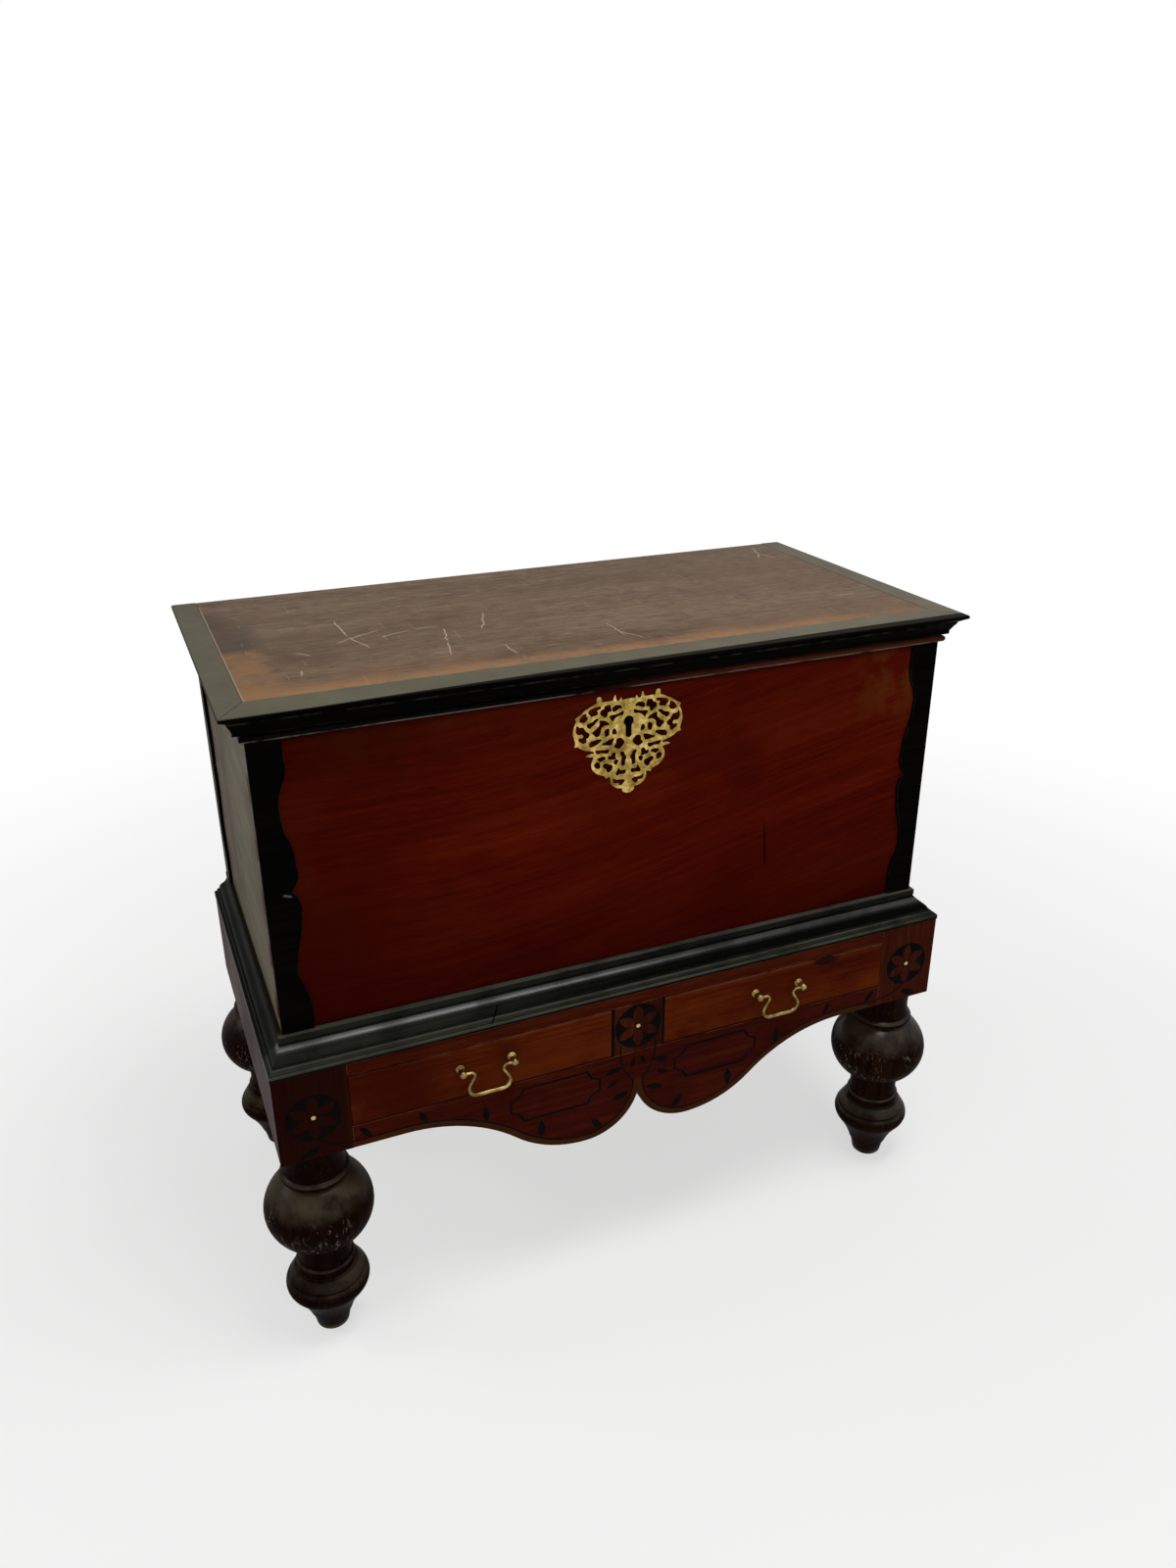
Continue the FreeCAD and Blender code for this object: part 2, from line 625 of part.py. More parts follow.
def parallel_string():
    """The line that follows the apron's lower edge on the right half."""
    bands = []
    arcs = lower_edge_arcs()
    for i, (x, z, radius, a, b) in enumerate(arcs):
        inward = -string_inset if i < 2 else string_inset
        start = left_angle if i == 0 else a
        bands.append(arc_band(x, z, radius + inward, start, b, string_width, front, inlay_back))
    level = post_bottom + string_inset
    bands.append(line_band(arcs[2][0], level, post_inner, level, string_width, front, inlay_back))
    return bands


def rosette_cup():
    """The pointed cup of line under the centre rosette, right half, down to the parallel line."""
    lobe_line_x = lobe_offset - (lower_edge_arcs()[0][2] - string_inset)
    lobe_line_z = lower_edge_arcs()[0][1]
    cup_side_z = centre_rosette_z - rosette_radius * cup_side_drop_share
    cup_side = V(rosette_radius * cup_side_share, front, cup_side_z)
    cup_foot = V(lobe_line_x, front, lobe_line_z)
    radius = hypot(cup_side.x - cup_foot.x, cup_side.z - cup_foot.z) * cup_bow_share
    mx, mz = (cup_side.x + cup_foot.x) / 2, (cup_side.z + cup_foot.z) / 2
    half = hypot(cup_side.x - cup_foot.x, cup_side.z - cup_foot.z) / 2
    reach = sqrt(radius ** 2 - half ** 2)
    ux, uz = (cup_side.x - cup_foot.x) / (2 * half), (cup_side.z - cup_foot.z) / (2 * half)
    cx, cz = mx - uz * reach, mz + ux * reach
    start = degrees(atan2(cup_foot.z - cz, cup_foot.x - cx))
    end = degrees(atan2(cup_side.z - cz, cup_side.x - cx))
    return [arc_band(cx, cz, radius, start, end, string_width, front, inlay_back)]


def cartouche():
    """A panel outline with notched corners on the right half."""
    w, h = post_inner * cartouche_width_share / 2, cartouche_height / 2
    middle_x, middle_z = post_inner * cartouche_offset_share, post_bottom - cartouche_drop
    notch = cartouche_height * cartouche_notch_share
    step = notch * cartouche_step_share
    quarter = [(w, h - notch), (w - step, h - step), (w - notch, h)]
    loop = quarter + [(-x, z) for x, z in reversed(quarter)]
    loop += [(-x, -z) for x, z in quarter] + [(x, -z) for x, z in reversed(quarter)]
    inner_w, inner_h = w - cartouche_line, h - cartouche_line
    inner_loop = [(x * inner_w / w, z * inner_h / h) for x, z in loop]
    outer = [(middle_x + x, front, middle_z + z) for x, z in loop]
    inner = [(middle_x + x, front - overrun, middle_z + z) for x, z in inner_loop]
    frame = prism(outer, V(0, inlay_depth, 0))
    return frame.cut(prism(inner, V(0, inlay_depth + 2 * overrun, 0)))


def end_curve():
    """The curved line under the right end rosette, running into the apron's line."""
    level = post_bottom + string_inset
    radius = rosette_radius * end_curve_share
    turn = (down_angle, down_angle + end_curve_turn)
    return [arc_band(post_inner, level + radius, radius, *turn, string_width, front, inlay_back)]


def trimmed(shapes, tools):
    """The shapes as separate solids, less what other inlays take."""
    whole = joined(shapes).cut(list(tools))
    return list(whole.Solids)


right_lines = joined(parallel_string() + rosette_cup() + end_curve())
lines = trimmed([right_lines, mirrored(right_lines)], rosettes + dots)
frames = [cartouche(), mirrored(cartouche())]
bar_edge = stile_width / 2
bar = block(bar_edge - bar_width, bar_edge, front, inlay_back, opening_bottom, opening_top)
bars = trimmed([bar], rosettes) + trimmed([mirrored(bar)], rosettes)
string_pieces = lines + frames + bars
nodes["string_inlays"] = Part.makeCompound(string_pieces)

# Leaves of the right half
leaf_base_x = post_inner
leaf_base_z = opening_bottom - lobe_bottom


def right_leaves():
    """All leaves of the right half, in the apron, the stile and the post."""
    shapes = []
    for (fx, fz), (tx, tz) in leaf_shares:
        a = (fx * leaf_base_x, lobe_bottom + fz * leaf_base_z)
        b = (tx * leaf_base_x, lobe_bottom + tz * leaf_base_z)
        width = hypot(b[0] - a[0], b[1] - a[1]) * leaf_width_share
        shapes.append(lens(*a, *b, width, front, inlay_back))
    (ax, az), (bx, bz) = end_leaf_shares
    a = (leg_x + ax * rosette_radius, end_rosette_z + az * rosette_radius)
    b = (leg_x + bx * rosette_radius, end_rosette_z + bz * rosette_radius)
    width = hypot(b[0] - a[0], b[1] - a[1]) * leaf_width_share
    shapes.append(lens(*a, *b, width, front, inlay_back))
    return shapes


leaves = []
for leaf in right_leaves():
    leaves += trimmed([leaf], string_pieces + rosettes)
leaves += [mirrored(leaf) for leaf in leaves]
nodes["leaf_inlays"] = Part.makeCompound(leaves)
inlays = rosettes + dots + string_pieces + leaves

# Frame pieces with their mortises, housings and inlay pockets
nodes["front_apron"] = cut_all(front_apron, stile_ends + runners + inlays)
nodes["front_top_rail"] = cut_all(front_top_rail, stile_ends + kickers)
nodes["centre_stile"] = cut_all(centre_stile, inlays)
nodes["back_rail"] = cut_all(back_rail, runners + kickers)
nodes["left_apron"] = left_apron
nodes["right_apron"] = right_apron
all_tenons = apron_tenons + top_tenons + back_tenons + left_tenons + right_tenons
bore_depth = leg_dowel_length + fit_gap
for corner, (sx, sy) in corners.items():
    px, py = sx * leg_x, sy * leg_y
    half = post_side / 2
    post = block(px - half, px + half, py - half, py + half, post_bottom, stand_top)
    bore = Part.makeCylinder(leg_dowel_radius + dowel_gap, bore_depth, V(px, py, post_bottom))
    nodes["post_" + corner] = cut_all(post, all_tenons + [bore] + (inlays if sy < 0 else []))


# Mouldings: one profile swept along the front and the sides, mitred where they meet
def mitred_set(profile, inner_x, inner_y, outer_x, outer_y, rear):
    """Front, left and right pieces; profile(run) gives steps in run and height."""
    floor = -overrun
    tall = stand_top + chest_height + lid_thickness + overrun

    def swept(steps, place, direction):
        path = [(s[0],) + tuple(place(u, v) for u, v in s[1:]) for s in steps]
        return Part.Face(wire_from(path)).extrude(direction)

    front_steps = profile(inner_y - outer_y)
    bar = swept(front_steps, lambda u, v: V(-outer_x, inner_y - u, v), V(2 * outer_x, 0, 0))
    keep = [(-outer_x, outer_y), (outer_x, outer_y), (inner_x, inner_y), (-inner_x, inner_y)]
    front_piece = bar.common(prism([(x, y, floor) for x, y in keep], V(0, 0, tall)))
    side_steps = profile(outer_x - inner_x)
    bar = swept(side_steps, lambda u, v: V(inner_x + u, outer_y, v), V(0, rear - outer_y, 0))
    keep = [(outer_x, outer_y), (outer_x, rear), (inner_x, rear), (inner_x, inner_y)]
    right_piece = bar.common(prism([(x, y, floor) for x, y in keep], V(0, 0, tall)))
    return front_piece, mirrored(right_piece), right_piece


def base_profile(run):
    """Lip, ogee and reeds of the base moulding, for one run."""
    def at(share):
        return run * share[0], stand_top + base_moulding_height * share[1]

    steps = [("line", at(base_lip_shares[0]))]
    steps += [("line", at(s)) for s in base_lip_shares[1:]]
    steps += [("arc", at(m), at(e)) for m, e in base_ogee_shares + base_reed_shares]
    steps += [("line", at((1.0, 0.0))), ("line", at((0.0, 0.0)))]
    return steps


base_inner = (chest_side + fit_gap, chest_face - fit_gap)
base_outer = (outside + base_moulding_overhang, front - base_moulding_overhang)
base_set = mitred_set(base_profile, *base_inner, *base_outer, back)
for name, piece in zip(("front", "left", "right"), base_set):
    nodes["base_moulding_" + name] = piece


def rim_profile(run):
    """A half-round nose on the rim moulding."""
    nose = rim_height / 2
    shank = run - nose
    return [
        ("line", (0, rim_bottom)),
        ("line", (shank, rim_bottom)),
        ("arc", (run, rim_bottom + nose), (shank, rim_top)),
        ("line", (0, rim_top)),
        ("line", (0, rim_bottom)),
    ]


strip_face = chest_face - strip_thickness
rim_outer = (chest_side + rim_overhang, strip_face - rim_overhang)
rim_set = mitred_set(rim_profile, chest_side, chest_face, *rim_outer, back)
for name, piece in zip(("front", "left", "right"), rim_set):
    nodes["rim_moulding_" + name] = piece


# Chest carcass: dovetailed boards with a bottom let into a groove
tail_pitch = chest_height / dovetail_count


def tails(side, y_root, y_tip):
    """The tails of one side board's end."""
    x0, x1 = sorted((side * (chest_side - wall), side * chest_side))
    shapes = []
    for k in range(dovetail_count):
        middle = stand_top + tail_pitch * (2 * k + 1) / 2
        root, tip = tail_pitch * tail_root_share / 2, tail_pitch * tail_tip_share / 2
        low, high = (y_root, middle - root), (y_root, middle + root)
        outline = [low, high, (y_tip, middle + tip), (y_tip, middle - tip)]
        shapes.append(prism([(x0, y, z) for y, z in outline], V(x1 - x0, 0, 0)))
    return shapes


inside_front = chest_face + wall
inside_back = back - wall
inside_side = chest_side - wall
bottom_low = stand_top + bottom_raise
bottom_x = (-inside_side - bottom_groove, inside_side + bottom_groove)
bottom_y = (inside_front - bottom_groove, inside_back + bottom_groove)
bottom_board = block(*bottom_x, *bottom_y, bottom_low, bottom_low + bottom_thickness)
front_tails = tails(-1, inside_front, chest_face) + tails(1, inside_front, chest_face)
back_tails = tails(-1, inside_back, back) + tails(1, inside_back, back)
front_board = block(-chest_side, chest_side, chest_face, inside_front, stand_top, chest_top)
back_board = block(-chest_side, chest_side, inside_back, back, stand_top, chest_top)
nodes["chest_bottom"] = bottom_board
nodes["chest_back"] = cut_all(back_board, back_tails + [bottom_board])
for name, side in (("left", -1), ("right", 1)):
    x0, x1 = sorted((side * inside_side, side * chest_side))
    board = block(x0, x1, inside_front, inside_back, stand_top, chest_top)
    own = tails(side, inside_front, chest_face) + tails(side, inside_back, back)
    nodes["chest_%s_side" % name] = cut_all(joined([board] + own), [bottom_board])

# Lock: a tray let into the front board, open towards the wood, its bolt, and the staple under the lid
lock_front = inside_front - lock_let_in
lock_back = lock_front + lock_depth
lock_low = chest_top - lock_height
lock_outer = block(-lock_width / 2, lock_width / 2, lock_front, lock_back, lock_low, chest_top)
lock_room = block(
    -lock_width / 2 + lock_wall, lock_width / 2 - lock_wall, lock_front - overrun, lock_back - lock_wall,
    lock_low + lock_wall, chest_top - lock_wall)
lock_middle = (lock_front + lock_back) / 2
keyhole_z = chest_top - escutcheon_top_drop - keyhole_drop - keyhole_radius


def keyhole(y0, y1):
    """A round hole over a slot, cut from front to back."""
    foot = keyhole_z + keyhole_radius - keyhole_height
    half = keyhole_slot / 2
    round_part = front_disc(0, keyhole_z, keyhole_radius, y0, y1)
    slot_end = front_disc(0, foot + half, half, y0, y1)
    slot = block(-half, half, y0, y1, foot + half, keyhole_z)
    return joined([round_part, slot, slot_end])


staple_half = staple_thickness / 2
staple_y = (lock_middle - staple_depth / 2, lock_middle + staple_depth / 2)
slot_gap = staple_slot_gap
staple_slot = block(
    -staple_half - slot_gap, staple_half + slot_gap, staple_y[0] - slot_gap, staple_y[1] + slot_gap,
    chest_top - lock_wall - overrun, chest_top + overrun)
bolt_top = chest_top - bolt_drop
bolt_low = bolt_top - bolt_height
bolt_end = -staple_half - bolt_rest_gap
ledge_span = (-lock_width / 2 + lock_wall, bolt_end - bolt_rest_gap)
ledge_y = (lock_front + lock_wall, lock_back - lock_wall)
ledge = block(*ledge_span, *ledge_y, bolt_low - bolt_ledge, bolt_low)
lock_shell = lock_outer.cut([lock_room, staple_slot])
nodes["lock_case"] = joined([lock_shell, ledge])
bolt_nose_z = (bolt_low + bolt_top) / 2
nose_half = bolt_nose_height / 2
bolt_back = bolt_end - bolt_nose_length
bolt_body = block(
    bolt_back - bolt_length, bolt_back, ledge_y[0] + bolt_gap, ledge_y[1] - bolt_gap, bolt_low, bolt_top)
bolt_nose = block(
    bolt_back, bolt_end, lock_middle - bolt_nose_thickness / 2, lock_middle + bolt_nose_thickness / 2,
    bolt_nose_z - nose_half, bolt_nose_z + nose_half)
nodes["lock_bolt"] = joined([bolt_body, bolt_nose])
eye_half = staple_eye_height / 2
staple_low = bolt_nose_z - eye_half - staple_eye_floor
plate_y = (lock_middle - staple_plate_depth / 2, lock_middle + staple_plate_depth / 2)
plate_x = (-staple_plate_length / 2, staple_plate_length / 2)
staple_plate = block(*plate_x, *plate_y, chest_top, chest_top + staple_plate_thickness)
staple_tongue = block(-staple_half, staple_half, *staple_y, staple_low, chest_top)
eye_y = (lock_middle - staple_eye_depth / 2, lock_middle + staple_eye_depth / 2)
staple_eye = block(
    -staple_half - overrun, staple_half + overrun, *eye_y, bolt_nose_z - eye_half, bolt_nose_z + eye_half)
nodes["lid_staple"] = joined([staple_plate, staple_tongue]).cut(staple_eye)

# Escutcheon: a sheet with a scrolled edge and scrolled holes
plate_half = escutcheon_width / 2
plate_top = chest_top - escutcheon_top_drop
plate_face = chest_face - escutcheon_thickness


def plate_xz(share):
    """A place on the escutcheon, seen from the front."""
    return plate_half * share[0], plate_top - escutcheon_height * share[1]


def plate_points(shares, y):
    """Places on the escutcheon as points of one plane."""
    return [V(x, y, z) for x, z in map(plate_xz, shares)]


def smooth_edge(points, closed):
    """One smooth curve through points."""
    curve = Part.BSplineCurve()
    curve.interpolate(Points=points, PeriodicFlag=closed)
    return curve.toShape()


def plate_sheet():
    """The right half of the sheet, out to its scrolled edge."""
    edges = [smooth_edge(plate_points(run, plate_face), False) for run in plate_edge_shares]
    start, end = plate_points([plate_edge_shares[0][0], plate_edge_shares[-1][-1]], plate_face)
    edges.append(Part.LineSegment(end, start).toShape())
    return Part.Face(Part.Wire(edges)).extrude(V(0, escutcheon_thickness, 0))


def plate_hole(shares):
    """One pierced hole, cut right through."""
    edge = smooth_edge(plate_points(shares, plate_face - overrun), True)
    return Part.Face(Part.Wire(edge)).extrude(V(0, escutcheon_thickness + 2 * overrun, 0))


half_plate = plate_sheet().cut([plate_hole(shares) for shares in plate_hole_shares])
whole_plate = joined([half_plate, mirrored(half_plate)])
nail_places = [plate_xz(s) for s in nail_shares]
nail_places += [(-x, z) for x, z in nail_places if x > 0]
nails = []
for x, z in nail_places:
    shank = front_disc(x, z, nail_radius, plate_face - nail_head_height / 2, plate_face + nail_length)
    head = front_disc(x, z, nail_head_radius, plate_face - nail_head_height, plate_face)
    nails.append(joined([shank, head]))
key_cut = keyhole(plate_face - overrun, lock_front + overrun)
nodes["escutcheon"] = cut_all(whole_plate, [key_cut] + nails)
nodes["escutcheon_nails"] = Part.makeCompound(nails)
nodes["chest_front"] = cut_all(front_board, front_tails + [bottom_board, lock_outer, key_cut] + nails)


# Corner strips with a waved edge, from the base moulding's lip up to the rim moulding
strip_low = base_lip_top + fit_gap
strip_length = rim_bottom - strip_low


def s_curve(a, b):
    """Two arcs from a to b, seen from the front, upright at both ends."""
    dx, dz = (b.x - a.x) / 2, (b.z - a.z) / 2
    turn = 2 * atan2(abs(dx), abs(dz))
    radius = abs(dz) / sin(turn)
    bow_x = radius * (1 - cos(turn / 2)) * (1 if dx > 0 else -1)
    bow_z = radius * sin(turn / 2) * (1 if dz > 0 else -1)
    bow = V(bow_x, 0, bow_z)
    return [("arc", a + bow, (a + b) / 2), ("arc", b - bow, b)]


def waved_strip():
    """The right front strip; its waved edge looks towards the middle and is alike above and below."""
    middle = (strip_low + rim_bottom) / 2

    def p(width, share, end):
        towards = 1 if end < middle else -1
        return V(chest_side - width, strip_face, end + towards * strip_length * share)

    def wave(end):
        straight_end = p(strip_width, strip_straight_share, end)
        neck = p(strip_neck_width, strip_neck_share, end)
        swell = p(strip_width, strip_swell_share, end)
        return p(strip_width, 0, end), straight_end, neck, swell, p(strip_width, strip_bulge_share, end)

    cusp = V(chest_side - strip_cusp_width, strip_face, middle)
    top, straight, neck, swell, bulge = wave(rim_bottom)
    steps = [("line", top), ("line", straight)] + s_curve(straight, neck) + s_curve(neck, swell)
    steps += [("arc", bulge, cusp)]
    foot, straight, neck, swell, bulge = wave(strip_low)
    steps += [("arc", bulge, swell)] + s_curve(swell, neck) + s_curve(neck, straight) + [("line", foot)]
    for point in (V(chest_side, strip_face, strip_low), V(chest_side, strip_face, rim_bottom), top):
        steps.append(("line", point))
    return Part.Face(wire_from(steps)).extrude(V(0, strip_thickness, 0))


right_strip = waved_strip()
nodes["front_right_strip"] = right_strip
nodes["front_left_strip"] = mirrored(right_strip)
rear_strip = waved_strip()
rear_strip.translate(V(-chest_side, -strip_face, 0))
rear_strip.rotate(V(0, 0, 0), V(0, 0, 1), up_angle)
rear_strip.translate(V(chest_side + strip_thickness, back, 0))
nodes["rear_strips"] = Part.makeCompound([rear_strip, mirrored(rear_strip)])


# Lid: a plank with moulded edging tongued on to its front and ends
lid_front = strip_face - lid_overhang
lid_side = chest_side + lid_end_overhang
panel_front = lid_front + lid_front_edging_width
panel_side = lid_side - lid_side_edging_width
tongue_middle = (chest_top + lid_top) / 2
tongue_z = (tongue_middle - tongue_thickness / 2, tongue_middle + tongue_thickness / 2)
plank = block(-panel_side, panel_side, panel_front, back, chest_top, lid_top)
tongue_reach = panel_side + tongue_length
tongue = block(-tongue_reach, tongue_reach, panel_front - tongue_length, back, *tongue_z)
lid_panel = joined([plank, tongue])


def lid_profile(run):
    """The moulded edge: a round nose, a slope and a cove down to the foot, for one run."""
    reach = lid_overhang - lid_bottom_overhang

    def at(inward_share, depth_share):
        return run - reach * inward_share, lid_top - lid_thickness * depth_share

    nose_depth = lid_nose_height_share
    step_top, step_low = lid_step_depth_shares
    return [
        ("line", (0, chest_top)),
        ("line", (0, lid_top)),
        ("line", at(lid_nose_top_share, 0)),
        ("arc", at(0, nose_depth / 2), at(lid_nose_top_share, nose_depth)),
        ("line", at(lid_step_share, step_top)),
        ("line", at(lid_step_share, step_low)),
        ("arc", at(*lid_cove_middle_shares), at(1, lid_cove_end_share)),
        ("line", at(1, 1)),
        ("line", (0, chest_top)),
    ]


edging_set = mitred_set(lid_profile, panel_side, panel_front, lid_side, lid_front, back + lid_end_proud)
for name, piece in zip(("front", "left", "right"), edging_set):
    nodes["lid_%s_edging" % name] = piece.cut([lid_panel, staple_plate])
nodes["lid_panel"] = lid_panel.cut(staple_plate)

# Hinges: leaves on the back with interleaved knuckles on a pin
hinge_y = back + hinge_barrel_radius + hinge_gap
knuckle_length = hinge_length / hinge_knuckles
leaf_y = (back, back + hinge_leaf_thickness)
across = V(1, 0, 0)


def hinge_leaf(middle, upward):
    """One leaf: a plate against the wood and every other knuckle of the barrel."""
    x0 = middle - hinge_length / 2
    z_far = chest_top + (hinge_leaf_height if upward else -hinge_leaf_height)
    z0, z1 = sorted((chest_top, z_far))
    plate = block(x0, x0 + hinge_length, *leaf_y, z0, z1)
    own, other = [], []
    for k in range(hinge_knuckles):
        start = V(x0 + knuckle_length * k, hinge_y, chest_top)
        if (k % 2 == 0) == upward:
            other.append(Part.makeCylinder(hinge_barrel_radius + hinge_gap, knuckle_length, start, across))
        else:
            inset = V(hinge_gap / 2, 0, 0)
            barrel_length = knuckle_length - hinge_gap
            barrel = Part.makeCylinder(hinge_barrel_radius, barrel_length, start + inset, across)
            z_end = chest_top + (hinge_barrel_radius if upward else -hinge_barrel_radius)
            w0, w1 = sorted((chest_top, z_end))
            web_x = (start.x + hinge_gap / 2, start.x + knuckle_length - hinge_gap / 2)
            own += [barrel, block(*web_x, leaf_y[0], hinge_y, w0, w1)]
    pin_start = V(x0 - overrun, hinge_y, chest_top)
    bore = Part.makeCylinder(hinge_pin_radius + hinge_pin_gap, hinge_length + 2 * overrun, pin_start, across)
    return joined([plate.cut(other)] + own).cut(bore)


hinge_places = (-hinge_offset, hinge_offset)
nodes["hinge_chest_leaves"] = Part.makeCompound([hinge_leaf(x, False) for x in hinge_places])
nodes["hinge_lid_leaves"] = Part.makeCompound([hinge_leaf(x, True) for x in hinge_places])
pins = []
for x in hinge_places:
    pin_start = V(x - hinge_length / 2, hinge_y, chest_top)
    pins.append(Part.makeCylinder(hinge_pin_radius, hinge_length, pin_start, across))
nodes["hinge_pins"] = Part.makeCompound(pins)


# Drawers with lapped corners, a grooved bottom and a bail handle
def handle_post(x):
    """A turned post with a ball head, its rose and a stem through the drawer front."""
    head_y = front - bail_stand_off
    rose = front_disc(x, bail_height, post_rose_radius, front - post_rose_thickness, front)
    neck = front_disc(x, bail_height, post_neck_radius, head_y, front)
    head = Part.makeSphere(post_head_radius, V(x, head_y, bail_height))
    stem_length = drawer_front_thickness + nut_thickness + stem_end
    stem = front_disc(x, bail_height, post_stem_radius, front, front + stem_length)
    return joined([rose, neck, head, stem])


def bail(middle):
    """A swan-neck rod: in from each post, round and down, and along the bottom."""
    y = front - bail_stand_off

    def at(x, z, side):
        return V(middle + side * x, y, bail_height + z)

    def half(side):
        start = at(-bail_span / 2, 0, side)
        neck_x = -bail_span / 2 + bail_neck_run
        neck_start = at(neck_x, 0, side)

        def on_neck(angle):
            turned = arc_point(neck_x, -bail_neck_radius, bail_neck_radius, angle, y)
            return at(turned.x, turned.z, side)

        end_angle = up_angle - bail_neck_turn
        heading = radians(-bail_neck_turn)
        end_x = neck_x + bail_neck_radius * cos(radians(end_angle))
        end_z = -bail_neck_radius + bail_neck_radius * sin(radians(end_angle))
        leg_x_end = end_x + bail_leg_length * cos(heading)
        leg_z_end = end_z + bail_leg_length * sin(heading)
        cx = leg_x_end - bail_bottom_radius * sin(heading)
        cz = leg_z_end + bail_bottom_radius * cos(heading)

        def on_bottom(angle):
            turned = arc_point(cx, cz, bail_bottom_radius, angle, y)
            return at(turned.x, turned.z, side)

        bottom_middle = down_angle - bail_neck_turn / 2
        return [
            ("line", start, neck_start),
            ("arc", neck_start, on_neck((up_angle + end_angle) / 2), on_neck(end_angle)),
            ("line", on_neck(end_angle), at(leg_x_end, leg_z_end, side)),
            ("arc", at(leg_x_end, leg_z_end, side), on_bottom(bottom_middle), on_bottom(down_angle)),
        ]

    left, right = half(1), half(-1)
    steps = left + [("line", left[-1][-1], right[-1][-1])]
    steps += [(s[0],) + tuple(reversed(s[1:])) for s in reversed(right)]
    edges = []
    for s in steps:
        make = Part.LineSegment if s[0] == "line" else Part.Arc
        edges.append(make(*s[1:]).toShape())
    path = Part.Wire(edges)
    section = Part.Wire(Part.Circle(left[0][1], V(1, 0, 0), bail_rod_radius).toShape())
    return path.makePipeShell([section], True, False)


def drawer(side, name):
    """All pieces of one drawer and its handle."""
    inner, outer = stile_width / 2 + slide_clearance, post_inner - slide_clearance
    x0, x1 = (inner, outer) if side > 0 else (-outer, -inner)
    z0, z1 = opening_bottom, opening_top - drawer_top_gap
    front_back = front + drawer_front_thickness
    rear = rear_rail_front - drawer_rear_gap
    lap = front_back - drawer_lap
    front_piece = block(x0, x1, front, front_back, z0, z1)
    sides = [block(x, x + drawer_wall, lap, rear, z0, z1) for x in (x0, x1 - drawer_wall)]
    bottom_z = (z0 + drawer_bottom_raise, z0 + drawer_bottom_raise + drawer_bottom_thickness)
    reach = drawer_wall - drawer_groove
    bottom = block(x0 + reach, x1 - reach, front_back - drawer_groove, rear, *bottom_z)
    rear_z = (bottom_z[1], z1 - drawer_back_drop)
    rear_piece = block(x0 + drawer_wall, x1 - drawer_wall, rear - drawer_wall, rear, *rear_z)
    middle = (x0 + x1) / 2
    posts = [middle - bail_span / 2, middle + bail_span / 2]
    rod = bail(middle)
    pin_start = V(posts[0], front - bail_stand_off, bail_height)
    pin_bore = Part.makeCylinder(bail_rod_radius + bail_pin_gap, bail_span, pin_start, across)
    stem_bores = []
    nuts = []
    nut_y = (front_back, front_back + nut_thickness)
    nut_z = (bail_height - nut_side / 2, bail_height + nut_side / 2)
    through = (front - overrun, nut_y[1] + overrun)
    for x in posts:
        stem_bores.append(front_disc(x, bail_height, post_stem_radius + stem_gap, *through))
        nut = block(x - nut_side / 2, x + nut_side / 2, *nut_y, *nut_z)
        nuts.append(nut.cut(front_disc(x, bail_height, post_stem_radius, *through)))
    nodes[name + "_drawer_front"] = cut_all(front_piece, sides + [bottom] + stem_bores)
    nodes[name + "_drawer_sides"] = Part.makeCompound([s.cut(bottom) for s in sides])
    nodes[name + "_drawer_back"] = rear_piece
    nodes[name + "_drawer_bottom"] = bottom
    nodes[name + "_handle_posts"] = Part.makeCompound([handle_post(x).cut(pin_bore) for x in posts])
    nodes[name + "_handle_nuts"] = Part.makeCompound(nuts)
    nodes[name + "_bail"] = rod


drawer(-1, "left")
drawer(1, "right")

# One file for each node
for name, shape in nodes.items():
    shape.exportStep("parts/%s.step" % name)
    sound = shape.isValid() and all(s.isClosed() for s in shape.Shells)
    print(name, len(shape.Solids), "solids", round(shape.Volume), "cubic mm", "" if sound else "NOT SOUND")
print(len(nodes), "nodes")
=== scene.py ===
# %% [markdown]
# # An inlaid trunk on its stand
# The trunk is a flat-lidded box of deep red wood with black edging. It lifts off a stand on four
# bulbous turned legs, with two drawers over a lobed, inlaid apron. The measured solids come from
# the frame. This lesson eases their edges, turns the small detail and lays on the old finishes.

# %% Load the measured frame
from math import atan2, cos, pi, radians, sin, sqrt

import bmesh
import bpy
from mathutils import Matrix, Vector


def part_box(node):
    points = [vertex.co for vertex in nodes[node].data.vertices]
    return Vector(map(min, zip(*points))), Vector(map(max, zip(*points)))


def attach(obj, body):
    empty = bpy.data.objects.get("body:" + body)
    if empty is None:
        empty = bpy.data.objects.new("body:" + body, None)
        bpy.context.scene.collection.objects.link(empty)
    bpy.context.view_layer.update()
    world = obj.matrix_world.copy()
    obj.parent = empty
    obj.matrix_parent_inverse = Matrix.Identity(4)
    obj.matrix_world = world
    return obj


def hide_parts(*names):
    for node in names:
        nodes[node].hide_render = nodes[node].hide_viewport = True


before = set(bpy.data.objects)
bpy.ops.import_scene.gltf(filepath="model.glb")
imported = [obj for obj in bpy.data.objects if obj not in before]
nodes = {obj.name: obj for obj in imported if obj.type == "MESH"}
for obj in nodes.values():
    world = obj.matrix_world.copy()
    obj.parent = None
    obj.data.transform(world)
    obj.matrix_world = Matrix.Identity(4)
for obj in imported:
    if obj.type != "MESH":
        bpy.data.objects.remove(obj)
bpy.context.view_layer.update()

# %% [markdown]
# ## The camera
# The picture was taken by someone standing to the left of the trunk and looking down on the lid.
# The eye point and the three angles were worked out from the straight edges of the lid, so the
# camera gets a matrix built from them instead of being placed by hand.

